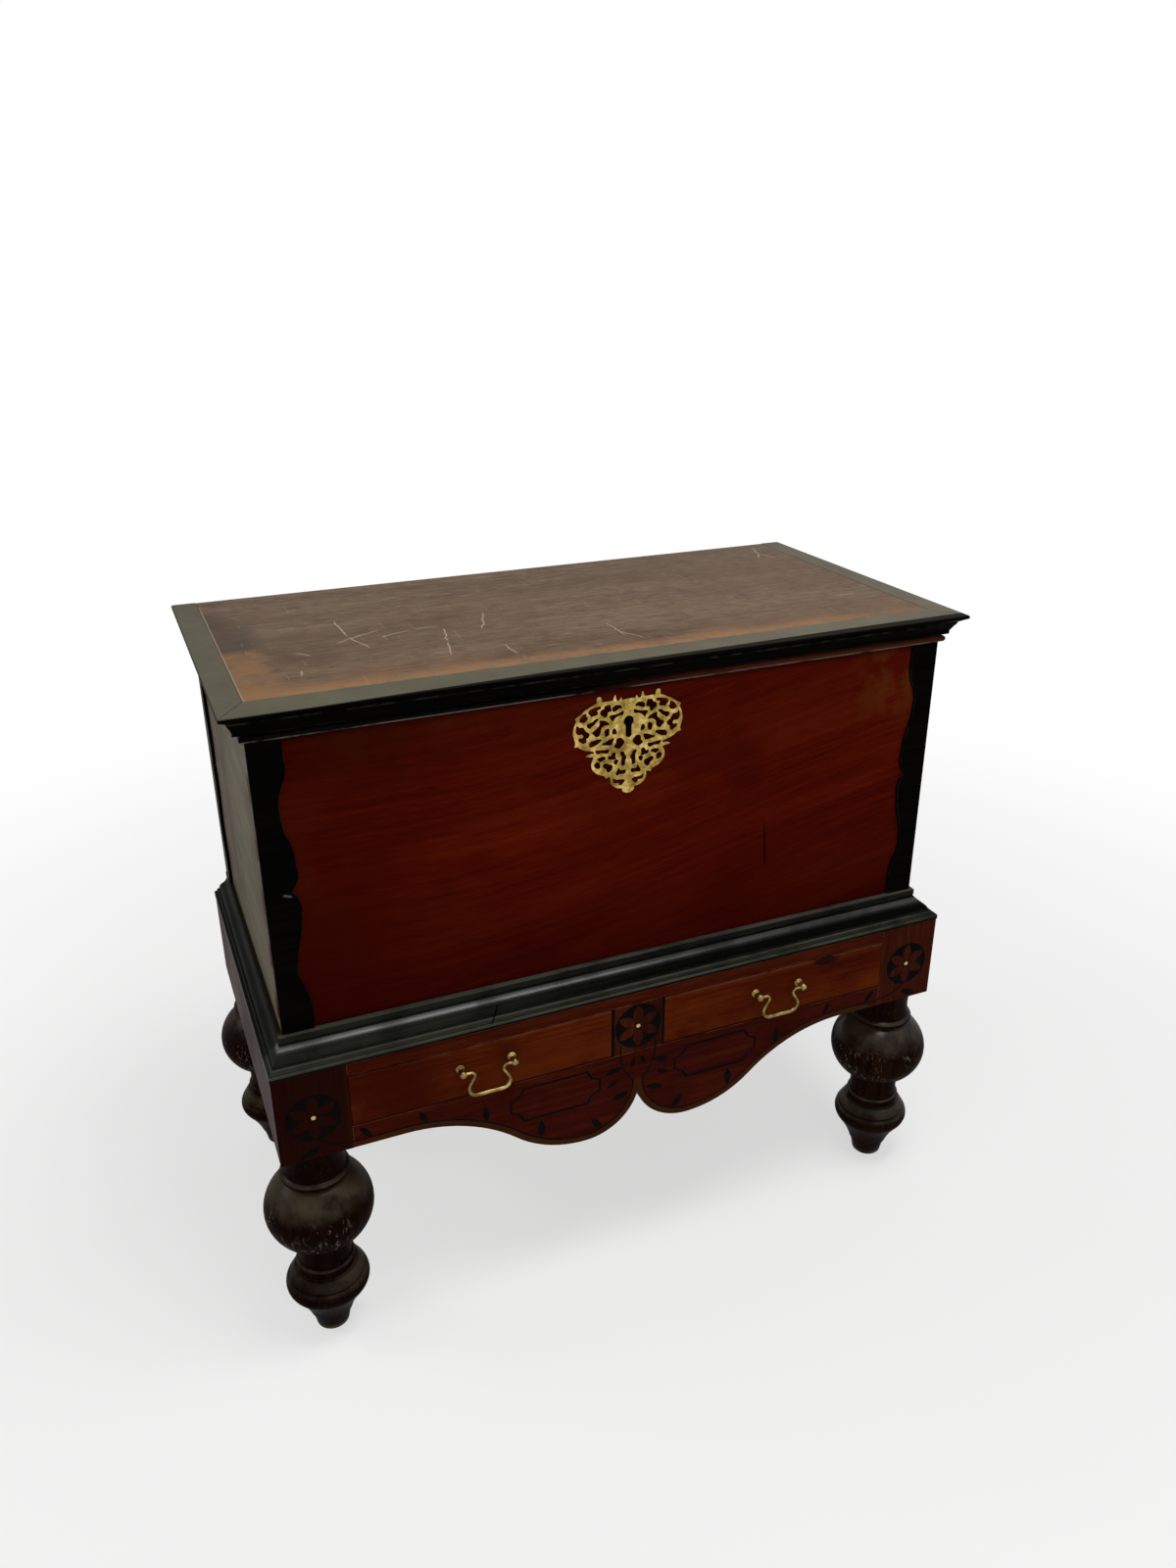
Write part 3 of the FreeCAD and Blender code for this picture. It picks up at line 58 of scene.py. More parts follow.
# %% Camera at the picture's eye point
scene = bpy.context.scene
scene.view_settings.view_transform = "Standard"
eye = Vector((-0.6385, -1.6001, 1.468))
yaw, pitch, roll = radians(22.87), radians(23.89), radians(-0.32)
ahead = Vector((sin(yaw) * cos(pitch), cos(yaw) * cos(pitch), -sin(pitch)))
level_right = Vector((cos(yaw), -sin(yaw), 0.0))
level_up = level_right.cross(ahead)
right = level_right * cos(roll) + level_up * sin(roll)
up = level_up * cos(roll) - level_right * sin(roll)

camera_data = bpy.data.cameras.new("picture_camera")
camera_data.sensor_fit = "VERTICAL"
camera_data.sensor_height = 36.0
camera_data.lens = 27.49
camera = bpy.data.objects.new("picture_camera", camera_data)
camera.matrix_world = Matrix.Translation(eye) @ Matrix((right, up, -ahead)).transposed().to_4x4()
scene.collection.objects.link(camera)
scene.camera = camera
print("camera height:", round(eye.z, 2))

# %% [markdown]
# ## Sums inside a finish
# A finish is a tree of nodes. Drawing the tree by hand is slow to read, so a small class wraps a
# socket, and an ordinary Python sum on it adds the Math node. A bar between two masks takes the
# larger one. Every other kind of node comes from one method, which sets the settings before the
# sockets.

# %% A socket that can be summed
class Wire:
    """The value of one socket. Sums on it add Math nodes to its tree."""

    def __init__(self, socket):
        self.socket = socket

    def node(self, kind, settings, inputs, output=0):
        """Add a node of any kind to the tree and give one of its outputs."""
        tree = self.socket.id_data
        made = tree.nodes.new(kind)
        for name, value in settings.items():
            if name == "stops":
                put_stops(made.color_ramp, value)
            else:
                setattr(made, name, value)
        for name, value in inputs.items():
            if isinstance(value, Wire):
                tree.links.new(value.socket, made.inputs[name])
            else:
                made.inputs[name].default_value = value
        return Wire(made.outputs[output])

    def math(self, operation, first, second=0.0):
        """Add one Math node."""
        return self.node("ShaderNodeMath", {"operation": operation}, {0: first, 1: second})

    def __add__(self, other):
        return self.math("ADD", self, other)

    def __sub__(self, other):
        return self.math("SUBTRACT", self, other)

    def __rsub__(self, other):
        return self.math("SUBTRACT", other, self)

    def __mul__(self, other):
        return self.math("MULTIPLY", self, other)

    def __or__(self, other):
        return self.math("MAXIMUM", self, other)

    def __abs__(self):
        return self.math("ABSOLUTE", self)


def put_stops(ramp, stops):
    """Give a colour ramp its stops, each a place and a colour."""
    while len(ramp.elements) < len(stops):
        ramp.elements.new(1.0)
    for element, (place, colour) in zip(ramp.elements, stops):
        element.position = place
        element.color = (*colour, 1.0)


print("Wire ready")

# %% [markdown]
# ## Readings that every finish uses
# Old wood is never one colour. Noise stretched along a board gives growth bands and pores, round
# noise gives stains, and a smooth step turns a reading into a mask. A mark such as a scratch is
# the distance to a straight stroke, so it can lie where the real one lies. The colour of a worn
# board is then a base with other colours laid over it in turn, each through its own mask.

# %% Noise, masks, colours and strokes
def stretched(place, scale, turn=(0.0, 0.0, 0.0), shift=(0.0, 0.0, 0.0)):
    """A place scaled, turned and shifted, so that noise read there is drawn out."""
    return place.node("ShaderNodeMapping", {},
                      {"Vector": place, "Location": shift, "Rotation": turn, "Scale": scale})


def cloud(place, scale, detail=4.0, roughness=0.55, warp=0.0):
    """Noise that wanders about 0.5."""
    return place.node("ShaderNodeTexNoise", {},
                      {"Vector": place, "Scale": scale, "Detail": detail,
                       "Roughness": roughness, "Distortion": warp})


def step(value, low, high):
    """0 below low, 1 above high, with a smooth rise between; it falls where low is the larger."""
    return value.node("ShaderNodeMapRange", {"interpolation_type": "SMOOTHSTEP"},
                      {"Value": value, "From Min": low, "From Max": high})


def reading(place, axis):
    """One of the three numbers of a place."""
    return place.node("ShaderNodeSeparateXYZ", {}, {0: place}, axis)


def readings(place):
    """All three numbers of a place."""
    return [reading(place, axis) for axis in range(3)]


def flat(u, v):
    """A place on a flat face, from its two numbers there."""
    return u.node("ShaderNodeCombineXYZ", {}, {"X": u, "Y": v})


def toned(value, *stops):
    """A colour ramp read at a value; a stop is a place on the ramp and a colour."""
    return value.node("ShaderNodeValToRGB", {"stops": stops}, {"Fac": value})


def wood_tones(bands, dark, mid, pale):
    """The colours of a board's growth bands."""
    return toned(bands, (0.38, dark), (0.5, mid), (0.63, pale))


def black_tones(bands, dark, pale):
    """The narrow range of colours of a black wood."""
    return toned(bands, (0.4, dark), (0.62, pale))


def blended(first, second, share):
    """Two colours mixed by a share; a plain colour is three numbers."""
    first, second = (c if isinstance(c, Wire) else (*c, 1.0) for c in (first, second))
    return share.node("ShaderNodeMix", {"data_type": "RGBA"}, {0: share, 6: first, 7: second}, 2)


def layered(colour, *layers):
    """A colour with others laid over it in turn, each a colour and its share."""
    for tint, share in layers:
        colour = blended(colour, tint, share)
    return colour


def stroke(face, start, end, width, fade=0.012):
    """1 on a straight mark between two places on a flat face, 0 beside it."""
    run_u, run_v = end[0] - start[0], end[1] - start[1]
    length = sqrt(run_u ** 2 + run_v ** 2)
    laid = face.node("ShaderNodeMapping", {"vector_type": "TEXTURE"},
                     {"Vector": face, "Location": (*start, 0.0),
                      "Rotation": (0.0, 0.0, atan2(run_v, run_u))})
    along, across = reading(laid, 0), abs(reading(laid, 1))
    ends = step(along, 0.0, fade) * step(along, length, length - fade)
    return step(across, width, width * 0.3) * ends


def oval(u, v, centre, half_u, half_v):
    """How far out a place lies in an oval: 0 at its centre, 1 on its rim."""
    du, dv = (u - centre[0]) * (1.0 / half_u), (v - centre[1]) * (1.0 / half_v)
    return u.math("SQRT", du * du + dv * dv)


def grain(place, along, shift=0.0, flecked=0.25):
    """Bands of a board whose grain runs along one axis, and its pores by themselves."""
    broad, fine, short = [9.0] * 3, [110.0] * 3, [380.0] * 3
    broad[along], fine[along], short[along] = 1.3, 4.5, 34.0
    figure = cloud(stretched(place, broad, shift=(shift,) * 3), 1.0, 3.0, 0.5, 0.8)
    streaks = cloud(stretched(place, fine, shift=(shift,) * 3), 1.0, 4.0, 0.6, 0.3)
    pores = cloud(stretched(place, short), 1.0, 3.0, 0.6)
    half_plain = (1.0 - flecked) * 0.5
    return figure * half_plain + streaks * half_plain + pores * flecked, pores


print("readings ready")

# %% [markdown]
# ## The start and the end of a finish
# Every finish starts from the piece's Object coordinates, because the pieces sit at the origin
# and the pattern then stays on them as they move. It ends in one shader, with colour, roughness
# and a little relief. The eased edges carry an attribute that says where hands have rubbed.

# %% Open and close a finish
def new_finish(name, gloss, metal=0.0):
    """A finish with its shader's plain values, and the place that its patterns read."""
    finish = bpy.data.materials.new(name)
    finish.use_nodes = True
    shader = finish.node_tree.nodes["Principled BSDF"]
    shader.inputs["Specular IOR Level"].default_value = gloss
    shader.inputs["Metallic"].default_value = metal
    shader.inputs["Coat Roughness"].default_value = 0.24
    coords = finish.node_tree.nodes.new("ShaderNodeTexCoord")
    return finish, Wire(coords.outputs["Object"])


def facing(place):
    """The way that the piece's own surface looks, which its body's motion leaves alone."""
    return place.node("ShaderNodeTexCoord", {}, {}, "Normal")


def rubbed_edges(place):
    """1 on the bevels of an eased piece, 0 elsewhere."""
    return place.node("ShaderNodeAttribute", {"attribute_name": "rubbed"}, {}, 2)


def lay(finish, colour, roughness, height, depth, polish=None):
    """Wire colour, roughness, relief and what is left of the polish to the finish's shader."""
    tree = finish.node_tree
    shader = tree.nodes["Principled BSDF"]
    relief = height.node("ShaderNodeBump", {}, {"Strength": 0.7, "Distance": depth, "Height": height})
    tree.links.new(colour.socket, shader.inputs["Base Color"])
    tree.links.new(roughness.socket, shader.inputs["Roughness"])
    tree.links.new(relief.socket, shader.inputs["Normal"])
    if polish:
        tree.links.new(polish.socket, shader.inputs["Coat Weight"])
    print("finish:", finish.name, "nodes:", len(tree.nodes))


print("finishes can start")

# %% [markdown]
# ## The floor and the light
# A pale floor runs far back and turns into the white of the world, so no horizon shows. The light
# is that of a plain studio: an even glow from all round, a wide softbox over the lid, one from
# the left rear that grazes the side and the lid, and a weak one in front.

# %% World, floor and softboxes
glow = 0.3
white, paper_white = (1.0, 1.0, 1.0, 1.0), (0.88, 0.88, 0.87, 1.0)
world = bpy.data.worlds.new("studio")
world.use_nodes = True
scene.world = world
background = world.node_tree.nodes["Background"]
background.inputs["Color"].default_value = white


def seen_rays(tree):
    """1 for rays that show a surface to the eye, straight, in a mirror or through glass."""
    path = tree.nodes.new("ShaderNodeLightPath")
    seen = Wire(path.outputs["Is Camera Ray"])
    for ray in ("Is Glossy Ray", "Is Transmission Ray"):
        seen = seen | Wire(path.outputs[ray])
    return seen


strength = seen_rays(world.node_tree) * (1.0 - glow) + glow
world.node_tree.links.new(strength.socket, background.inputs["Strength"])

floor_finish, place = new_finish("floor_paper", 0.0)
distance = place.node("ShaderNodeVectorMath", {"operation": "LENGTH"}, {0: place}, 1)
floor_tree = floor_finish.node_tree
paper = floor_tree.nodes["Principled BSDF"]
paper.inputs["Base Color"].default_value = paper_white
paper.inputs["Roughness"].default_value = 0.9
shining = distance.node("ShaderNodeEmission", {}, {"Color": white})
bright = (step(distance, 0.7, 2.6) * 0.4 + 0.6) * seen_rays(floor_tree)
far = distance.node("ShaderNodeMixShader", {}, {0: bright, 1: Wire(paper.outputs[0]), 2: shining})
floor_tree.links.new(far.socket, floor_tree.nodes["Material Output"].inputs["Surface"])

paper_mesh = bmesh.new()
bmesh.ops.create_grid(paper_mesh, x_segments=1, y_segments=1, size=30.0)
floor_mesh = bpy.data.meshes.new("floor")
paper_mesh.to_mesh(floor_mesh)
paper_mesh.free()
floor_mesh.materials.append(floor_finish)
floor = bpy.data.objects.new("floor", floor_mesh)
scene.collection.objects.link(floor)


def softbox(name, at, target, size, watts):
    """A wide rectangular lamp aimed at a place on the trunk."""
    lamp = bpy.data.lights.new(name, "AREA")
    lamp.shape = "RECTANGLE"
    lamp.size, lamp.size_y = size
    lamp.energy = watts
    holder = bpy.data.objects.new(name, lamp)
    aim = (Vector(target) - Vector(at)).to_track_quat("-Z", "Y")
    holder.matrix_world = Matrix.LocRotScale(Vector(at), aim, None)
    scene.collection.objects.link(holder)


softbox("over_lid", (0.4, -0.7, 3.2), (0.0, 0.0, 0.6), (1.5, 1.0), 46.0)
softbox("left_rear", (-2.7, 1.0, 2.1), (-0.4, 0.0, 0.7), (1.3, 0.9), 22.0)
softbox("front_fill", (0.2, -3.4, 1.4), (0.0, 0.0, 0.6), (2.0, 1.4), 15.0)
print("lamps:", len(bpy.data.lights))

# %% [markdown]
# ## Making pieces
# A finished piece is a mesh that rides on one body of the frame, and it may stand for a solid.
# Many pieces are the solid itself with the sharp saw-cut edges eased, as a scraper and two
# centuries of hands leave them. A copy of the solid is merged, bevelled and shaded smooth, and
# the bevels are marked as rubbed for the finish to read.

# %% Put a mesh on its body, and ease a solid's edges
def add_piece(name, mesh, body, slot, finish, *stands_for):
    """Make a piece of a mesh, on its body, in place of the solids it stands for; the slot is not used."""
    data = bpy.data.meshes.new(name)
    mesh.to_mesh(data)
    mesh.free()
    data.materials.append(finish)
    piece = bpy.data.objects.new(name, data)
    scene.collection.objects.link(piece)
    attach(piece, body)
    if stands_for:
        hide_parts(*stands_for)
    print("piece:", name, "faces:", len(data.polygons))
    return piece


def gather(part, whole):
    """Move a small mesh into the mesh of a whole set."""
    held = bpy.data.meshes.new("held")
    part.to_mesh(held)
    part.free()
    whole.from_mesh(held)
    bpy.data.meshes.remove(held)


def merged_copy(node):
    """A solid's mesh with its loose triangles joined into flat faces."""
    mesh = bmesh.new()
    mesh.from_mesh(nodes[node].data)
    bmesh.ops.remove_doubles(mesh, verts=mesh.verts, dist=2e-6)
    bmesh.ops.dissolve_limit(mesh, angle_limit=radians(0.5), verts=mesh.verts, edges=mesh.edges)
    return mesh


def shade_smooth(mesh, crease):
    """Shade smoothly over every edge that turns by less than the crease."""
    for face in mesh.faces:
        face.smooth = True
    for edge in mesh.edges:
        edge.smooth = edge.is_manifold and edge.calc_face_angle() < crease


def ease(node, width, body, slot, finish, wanted=lambda edge: True, rework=None):
    """The solid of a node with its sharp outer edges rounded over, then reworked if asked."""
    mesh = merged_copy(node)
    rubbed = mesh.faces.layers.float.new("rubbed")
    corner = radians(35)
    sharp = [e for e in mesh.edges if e.is_manifold and e.calc_face_angle() > corner and wanted(e)]
    rounded = bmesh.ops.bevel(mesh, geom=sharp, offset=width, offset_type="OFFSET", affect="EDGES",
                              segments=2, profile=0.5, material=-1, clamp_overlap=True)
    for face in rounded["faces"]:
        face[rubbed] = 1.0
    if rework:
        rework(mesh)
    shade_smooth(mesh, radians(50))
    piece = add_piece(node + "_eased", mesh, body, slot, finish, node)
    weighted = piece.modifiers.new("flat_faces_stay_flat", "WEIGHTED_NORMAL")
    weighted.keep_sharp = True


print("pieces can start")

# %% [markdown]
# ## The front board
# The front is one wide board of dense red wood, almost black in the bands, with a figure that
# sweeps up to the right. The top right corner is worn to a golden brown, a painted shadow darkens
# the wood behind the lock plate, and a fine crack runs down right of the middle. The readings are
# bent before the noise sees them, which bends the figure.

# %% Red wood of the trunk's front
red_tones = (0.05, 0.0024, 0.0006), (0.08, 0.005, 0.001), (0.104, 0.01, 0.0018)
red_stain, amber, worn_gold = (0.036, 0.0018, 0.0005), (0.072, 0.015, 0.0024), (0.115, 0.036, 0.007)
left_shade, foot_shade = (0.028, 0.0009, 0.0003), (0.022, 0.0008, 0.0003)
rim_shade, plate_shadow = (0.012, 0.0006, 0.0004), (0.009, 0.0008, 0.0004)
crack_black, nick_pale = (0.004, 0.0005, 0.0003), (0.24, 0.1, 0.05)

front_red, place = new_finish("front_red", 0.005)
x, y, z = readings(place)
sweep = step(x, -0.3, 0.7) * 0.15
swept = place.node("ShaderNodeCombineXYZ", {}, {"X": x, "Y": y, "Z": z - sweep})
bands, pores = grain(swept, 0)
stain = cloud(place, 4.0)
on_face = step(reading(facing(place), 1), -0.3, -0.7)
upper_left = step(z, 0.55, 0.9) * step(x, 0.15, -0.4) * step(cloud(place, 6.0), 0.38, 0.66)
near_corner = step(z, 0.8, 0.9) * step(x, 0.33, 0.45) * step(cloud(place, 20.0), 0.4, 0.58)
# Painted shadow: the wood behind the lock plate's openings is darkened, as the plate would shade it.
behind_scrolls = step(oval(x, z, (0.0, 0.887), 0.078, 0.036), 1.0, 0.85)
behind_tail = step(oval(x, z, (0.0, 0.835), 0.052, 0.034), 1.0, 0.85)
crack = stroke(flat(x, z), (0.2242, 0.697), (0.2291, 0.619), 0.0018)
nick_spots = place.node("ShaderNodeTexVoronoi", {}, {"Vector": place, "Scale": 24.0})
nicks = step(nick_spots, 0.05, 0.03) * step(cloud(place, 5.0), 0.54, 0.6)
colour = layered(
    wood_tones(bands, *red_tones),
    (red_stain, step(stain, 0.48, 0.7) * 0.6),
    (amber, upper_left * 0.6),
    (worn_gold, near_corner * on_face * 0.75),
    (left_shade, step(x, -0.2, -0.45) * 0.35),
    (foot_shade, step(z, 0.74, 0.53) * 0.6),
    (rim_shade, step(z, 0.929, 0.94) * 0.8),
    (plate_shadow, (behind_scrolls | behind_tail) * on_face * 0.75),
    (crack_black, crack),
    (nick_pale, nicks * 0.7))
lay(front_red, colour, stain * 0.2 + 0.34, bands * 0.5 + pores * 0.4 - crack, 0.0006)

# %% [markdown]
# ## The side boards
# The sides have lost their polish. Their grey olive brown is partly faded wood and partly
# a painted sheen of grazing light, with darker streaks along the grain and a darker, redder rear.
# The same readings serve, with paler colours.

# %% Faded wood of the trunk's sides
# The pale tones stand partly for a painted sheen of grazing light on the sides.
faded_and_sheen_tones = (0.048, 0.036, 0.018), (0.084, 0.069, 0.037), (0.122, 0.104, 0.06)
faded_stain, rear_red = (0.042, 0.02, 0.01), (0.036, 0.012, 0.006)

side_faded_and_sheen, place = new_finish("side_faded_and_sheen", 0.02)
bands, pores = grain(place, 1, 3.0)
stain = cloud(place, 6.0)
colour = layered(
    wood_tones(bands, *faded_and_sheen_tones),
    (faded_stain, step(stain, 0.5, 0.7) * 0.55),
    (rear_red, step(reading(place, 1), -0.05, 0.25) * 0.6))
lay(side_faded_and_sheen, colour, stain * 0.2 + 0.42, bands * 0.5 + pores * 0.5, 0.0005)

# %% [markdown]
# ## The lid
# The lid is the most used face: grey brown, orange where the polish holds along the front edge,
# with dark stains at the left end and many pale scratches. The long scratches are strokes where
# they lie on the real lid, on readings that waver a little so that no stroke is ruler-straight.
# The fine ones come from stretched noise at two slants. The underside was never polished or
# worn, and the piece's own normal tells the two faces apart.

# %% Scratches and worn wood of the lid
lid_tones = (0.062, 0.039, 0.023), (0.122, 0.079, 0.047), (0.19, 0.128, 0.08)
right_grey, mottle_dark, lid_orange = (0.12, 0.078, 0.053), (0.074, 0.046, 0.028), (0.19, 0.098, 0.045)
front_orange, corner_orange = (0.25, 0.132, 0.062), (0.215, 0.108, 0.048)
dull_brown, end_stain, lid_stain = (0.07, 0.045, 0.026), (0.046, 0.03, 0.02), (0.058, 0.036, 0.022)
scratch_pale, seam_pale, lid_edge = (0.42, 0.33, 0.22), (0.3, 0.25, 0.18), (0.26, 0.18, 0.11)
under_dark, under_pale = (0.072, 0.041, 0.02), (0.165, 0.1, 0.052)
scratch_width, waver = 0.0016, (0.014, 0.014, 0.0)
long_scratches = [
    ((-0.323, 0.092), (-0.324, 0.003)), ((-0.324, 0.003), (-0.304, -0.062)),
    ((-0.343, -0.023), (-0.273, 0.021)), ((-0.283, -0.022), (-0.232, 0.003)),
    ((-0.232, 0.003), (-0.193, 0.002)), ((-0.188, -0.009), (-0.201, -0.076)),
    ((-0.201, -0.076), (-0.218, -0.135)), ((-0.112, 0.048), (-0.14, -0.04)),
    ((-0.135, -0.113), (-0.133, -0.168)), ((-0.406, -0.04), (-0.382, -0.067)),
    ((-0.409, -0.116), (-0.412, -0.146)), ((0.033, -0.078), (0.032, -0.149)),
    ((0.032, -0.121), (0.05, -0.171)), ((0.464, 0.249), (0.435, 0.173)),
    ((0.448, 0.207), (0.464, 0.163)), ((0.416, -0.083), (0.456, -0.087)),
]

lid_worn, place = new_finish("lid_worn", 0.02)
x, y = reading(place, 0), reading(place, 1)
on_top = step(reading(facing(place), 2), 0.3, 0.7)
drift = place.node("ShaderNodeTexNoise", {}, {"Vector": place, "Scale": 30.0, "Detail": 2.0}, 1)
centred = drift.node("ShaderNodeVectorMath", {"operation": "SUBTRACT"}, {0: drift, 1: (0.5, 0.5, 0.5)})
wavering = drift.node("ShaderNodeVectorMath", {"operation": "MULTIPLY_ADD"},
                      {0: centred, 1: waver, 2: flat(x, y)})
scratched = stroke(wavering, *long_scratches[0], scratch_width)
for start, end in long_scratches[1:]:
    scratched = scratched | stroke(wavering, start, end, scratch_width)
broken = step(cloud(place, 15.0, 2.0), 0.5, 0.6)
for slant in (0.5, -0.9):
    hairs = cloud(stretched(place, (260.0, 9.0, 1.0), (0.0, 0.0, slant)), 1.0, 2.0)
    scratched = scratched | step(hairs, 0.66, 0.72) * broken * 0.4
scratched = scratched * on_top

bands, pores = grain(place, 0, 7.0, 0.55)
stain = cloud(place, 5.0, 6.0, 0.62)
mottle = cloud(place, 34.0, 4.0, 0.65)
speckle = step(mottle, 0.4, 0.6)
ragged_y = y + mottle * 0.03
polished = step(y + stain * 0.16, -0.04, -0.13) * step(cloud(place, 14.0), 0.32, 0.6)
front_gold = step(ragged_y, -0.15, -0.19) * step(x, 0.48, 0.3)
dull_left = step(x, 0.05, -0.25) * step(y, -0.14, -0.08) * step(y, 0.1, 0.02)
left_corner = step(ragged_y, 0.025, -0.01) * step(x + mottle * 0.06, -0.4, -0.425)
left_end = step(x + stain * 0.16, -0.36, -0.4) * step(ragged_y, -0.01, 0.02) * step(y, 0.25, 0.16)
seam = step(x, -0.4925, -0.4945) * step(y, 0.26, 0.2)
rubbed = rubbed_edges(place) * step(cloud(place, 30.0), 0.4, 0.6)
top = layered(
    wood_tones(bands, *lid_tones),
    (right_grey, step(x, -0.1, 0.4) * 0.35),
    (mottle_dark, step(mottle, 0.48, 0.68) * 0.5),
    (lid_orange, polished * 0.6),
    (front_orange, front_gold * (stain * 0.6 + speckle * 0.5 + 0.1)),
    (dull_brown, dull_left * 0.35),
    (corner_orange, left_corner * (stain * 0.5 + speckle * 0.4 + 0.1)),
    (end_stain, left_end * 0.7),
    (lid_stain, step(stain, 0.56, 0.72) * 0.5),
    (scratch_pale, scratched * 0.65),
    (seam_pale, seam * 0.6),
    (lid_edge, rubbed * 0.5))
underside = toned(bands, (0.38, under_dark), (0.63, under_pale))
colour = blended(underside, top, on_top)
lay(lid_worn, colour, stain * 0.25 + 0.34, bands * 0.5 + pores * 0.5 - scratched * 0.4, 0.0006)

# %% [markdown]
# ## Black wood
# The edging, strips, mouldings and inlay are a black wood. Upright faces stay black. Faces that
# look up are grey with dust and wear and with a painted reflection of the light above, browner
# towards the right end, but they stay black along the outer edge of the lid. Rubbed edges show
# brown. The facing reading is the piece's own normal, so the grey stays on the lid's top when the
# lid opens.

# %% Black wood of the edging and the strips
ebony_tones = (0.0008, 0.0007, 0.0006), (0.0034, 0.0027, 0.0022)
dust_sheen_olive, dust_sheen_brown = (0.128, 0.119, 0.085), (0.16, 0.141, 0.107)
chip_grey, ebony_edge = (0.11, 0.11, 0.1), (0.05, 0.042, 0.034)

edging_black, place = new_finish("edging_black", 0.003)
x, y, z = readings(place)
bands, pores = grain(place, 0, 11.0)
stain = cloud(place, 9.0)
# Faces that look up turn grey: dust, and a painted reflection of the light above.
upward = step(reading(facing(place), 2), 0.45, 0.95)
edge_width = step(x, -0.52, 0.0) * 0.011 + step(x, 0.0, 0.4) * 0.006
black_edge = step(y - edge_width, -0.26, -0.262) | step(x, 0.537, 0.54)
dust_and_sheen = upward * (stain * 0.5 + pores * 0.3 + 0.42) * (1 - black_edge * 0.9)
dust_and_sheen_tint = blended(dust_sheen_olive, dust_sheen_brown, step(x, -0.2, 0.4))
chip = stroke(flat(x, z), (-0.48, 0.731), (-0.467, 0.726), 0.0022, 0.004)
rubbed = rubbed_edges(place) * step(cloud(place, 40.0), 0.42, 0.62)
colour = layered(
    black_tones(bands, *ebony_tones),
    (dust_and_sheen_tint, dust_and_sheen),
    (chip_grey, chip * 0.8),
    (ebony_edge, rubbed * 0.35))
lay(edging_black, colour, upward * 0.16 + stain * 0.2 + 0.28, bands * 0.4 + pores * 0.4, 0.0004)

# %% [markdown]
# The small half-round under the lid is black at the left and worn back to red brown at the right,
# with a pale painted highlight along its rubbed lower edge.

# %% Worn half-round under the lid
rim_tones = (0.0012, 0.001, 0.0008), (0.0045, 0.0034, 0.0027)
bare_red, rim_edge_highlight = (0.078, 0.019, 0.0085), (0.15, 0.135, 0.115)

rim_worn_and_highlight, place = new_finish("rim_worn_and_highlight", 0.012)
x, y, z = readings(place)
bands, pores = grain(place, 0, 4.0)
bare = step(x, -0.1, 0.16) * step(cloud(place, 9.0), 0.3, 0.5) * step(z, 0.943, 0.9445)
# Painted highlight: a pale line along the half-round's rubbed lower edge.
lower_edge_highlight = step(z, 0.9452, 0.9442) * step(y, -0.2275, -0.229) * step(cloud(place, 22.0), 0.34, 0.54)
colour = layered(
    black_tones(bands, *rim_tones),
    (bare_red, bare * 0.85),
    (rim_edge_highlight, lower_edge_highlight * 0.8))
lay(rim_worn_and_highlight, colour, bands * 0.2 + 0.3, bands * 0.4 + pores * 0.4, 0.0004)

# %% [markdown]
# The base moulding was planed as one long section: a lip, an ogee and two reeds. The colour is a
# ramp up the section, with painted shade black in its quirks and a painted grey sheen on its
# rounds. A second ramp, of dust with painted shade in its quirks and hollow, takes over towards
# the left end, and a coat of old polish still shines on the round of the ogee.

# %% Black and grey of the base moulding
quirk, reed, ogee = (0.002, 0.002, 0.0015), (0.052, 0.053, 0.039), (0.03, 0.031, 0.027)
lip_dark, lip_grey = (0.013, 0.013, 0.0105), (0.06, 0.058, 0.043)
dust_quirk_shade, dust_grey, dust_in_shade = (0.005, 0.005, 0.004), (0.05, 0.051, 0.038), (0.021, 0.022, 0.016)
side_black, split_black = (0.006, 0.006, 0.004), (0.001, 0.001, 0.0008)
moulding_edge = (0.1, 0.094, 0.075)
moulding_foot, moulding_height = 0.4845, 0.04

moulding_black, place = new_finish("moulding_black", 0.008)
x, y, z = readings(place)
level = (z - moulding_foot) * (1.0 / moulding_height)
stain = cloud(place, 12.0)
lines = cloud(stretched(place, (6.0, 160.0, 160.0)), 1.0, 3.0)
# Painted shade black in the quirks, painted grey sheen on the reeds and rounds.
shade_and_sheen_ramp = toned(
    level, (0.07, quirk), (0.11, reed), (0.175, reed), (0.2, quirk), (0.23, reed),
    (0.28, reed), (0.31, quirk), (0.5, quirk), (0.58, ogee), (0.66, ogee), (0.69, quirk),
    (0.72, quirk), (0.78, lip_dark), (0.96, lip_dark), (1.0, lip_grey))
# Dust, with painted shade: dark lines at the quirks, dimmer in the hollow and on the lip's front.
dust_and_shade_ramp = toned(
    level, (0.07, dust_quirk_shade), (0.1, dust_grey), (0.18, dust_grey), (0.2, dust_quirk_shade),
    (0.22, dust_grey), (0.285, dust_grey), (0.31, dust_quirk_shade), (0.35, dust_in_shade), (0.52, dust_in_shade),
    (0.6, dust_grey), (0.65, dust_grey), (0.69, dust_quirk_shade), (0.73, dust_quirk_shade), (0.77, dust_in_shade),
    (0.96, dust_in_shade), (1.0, dust_grey))
left_dust = step(x, 0.05, -0.48) * (step(stain, 0.66, 0.4) * 0.5 + 0.4)
on_front = step(y, -0.222, -0.232)
split = stroke(flat(x, y), (-0.208, -0.25), (-0.226, -0.273), 0.0016, 0.002)
rubbed = rubbed_edges(place) * step(cloud(place, 40.0), 0.4, 0.6)
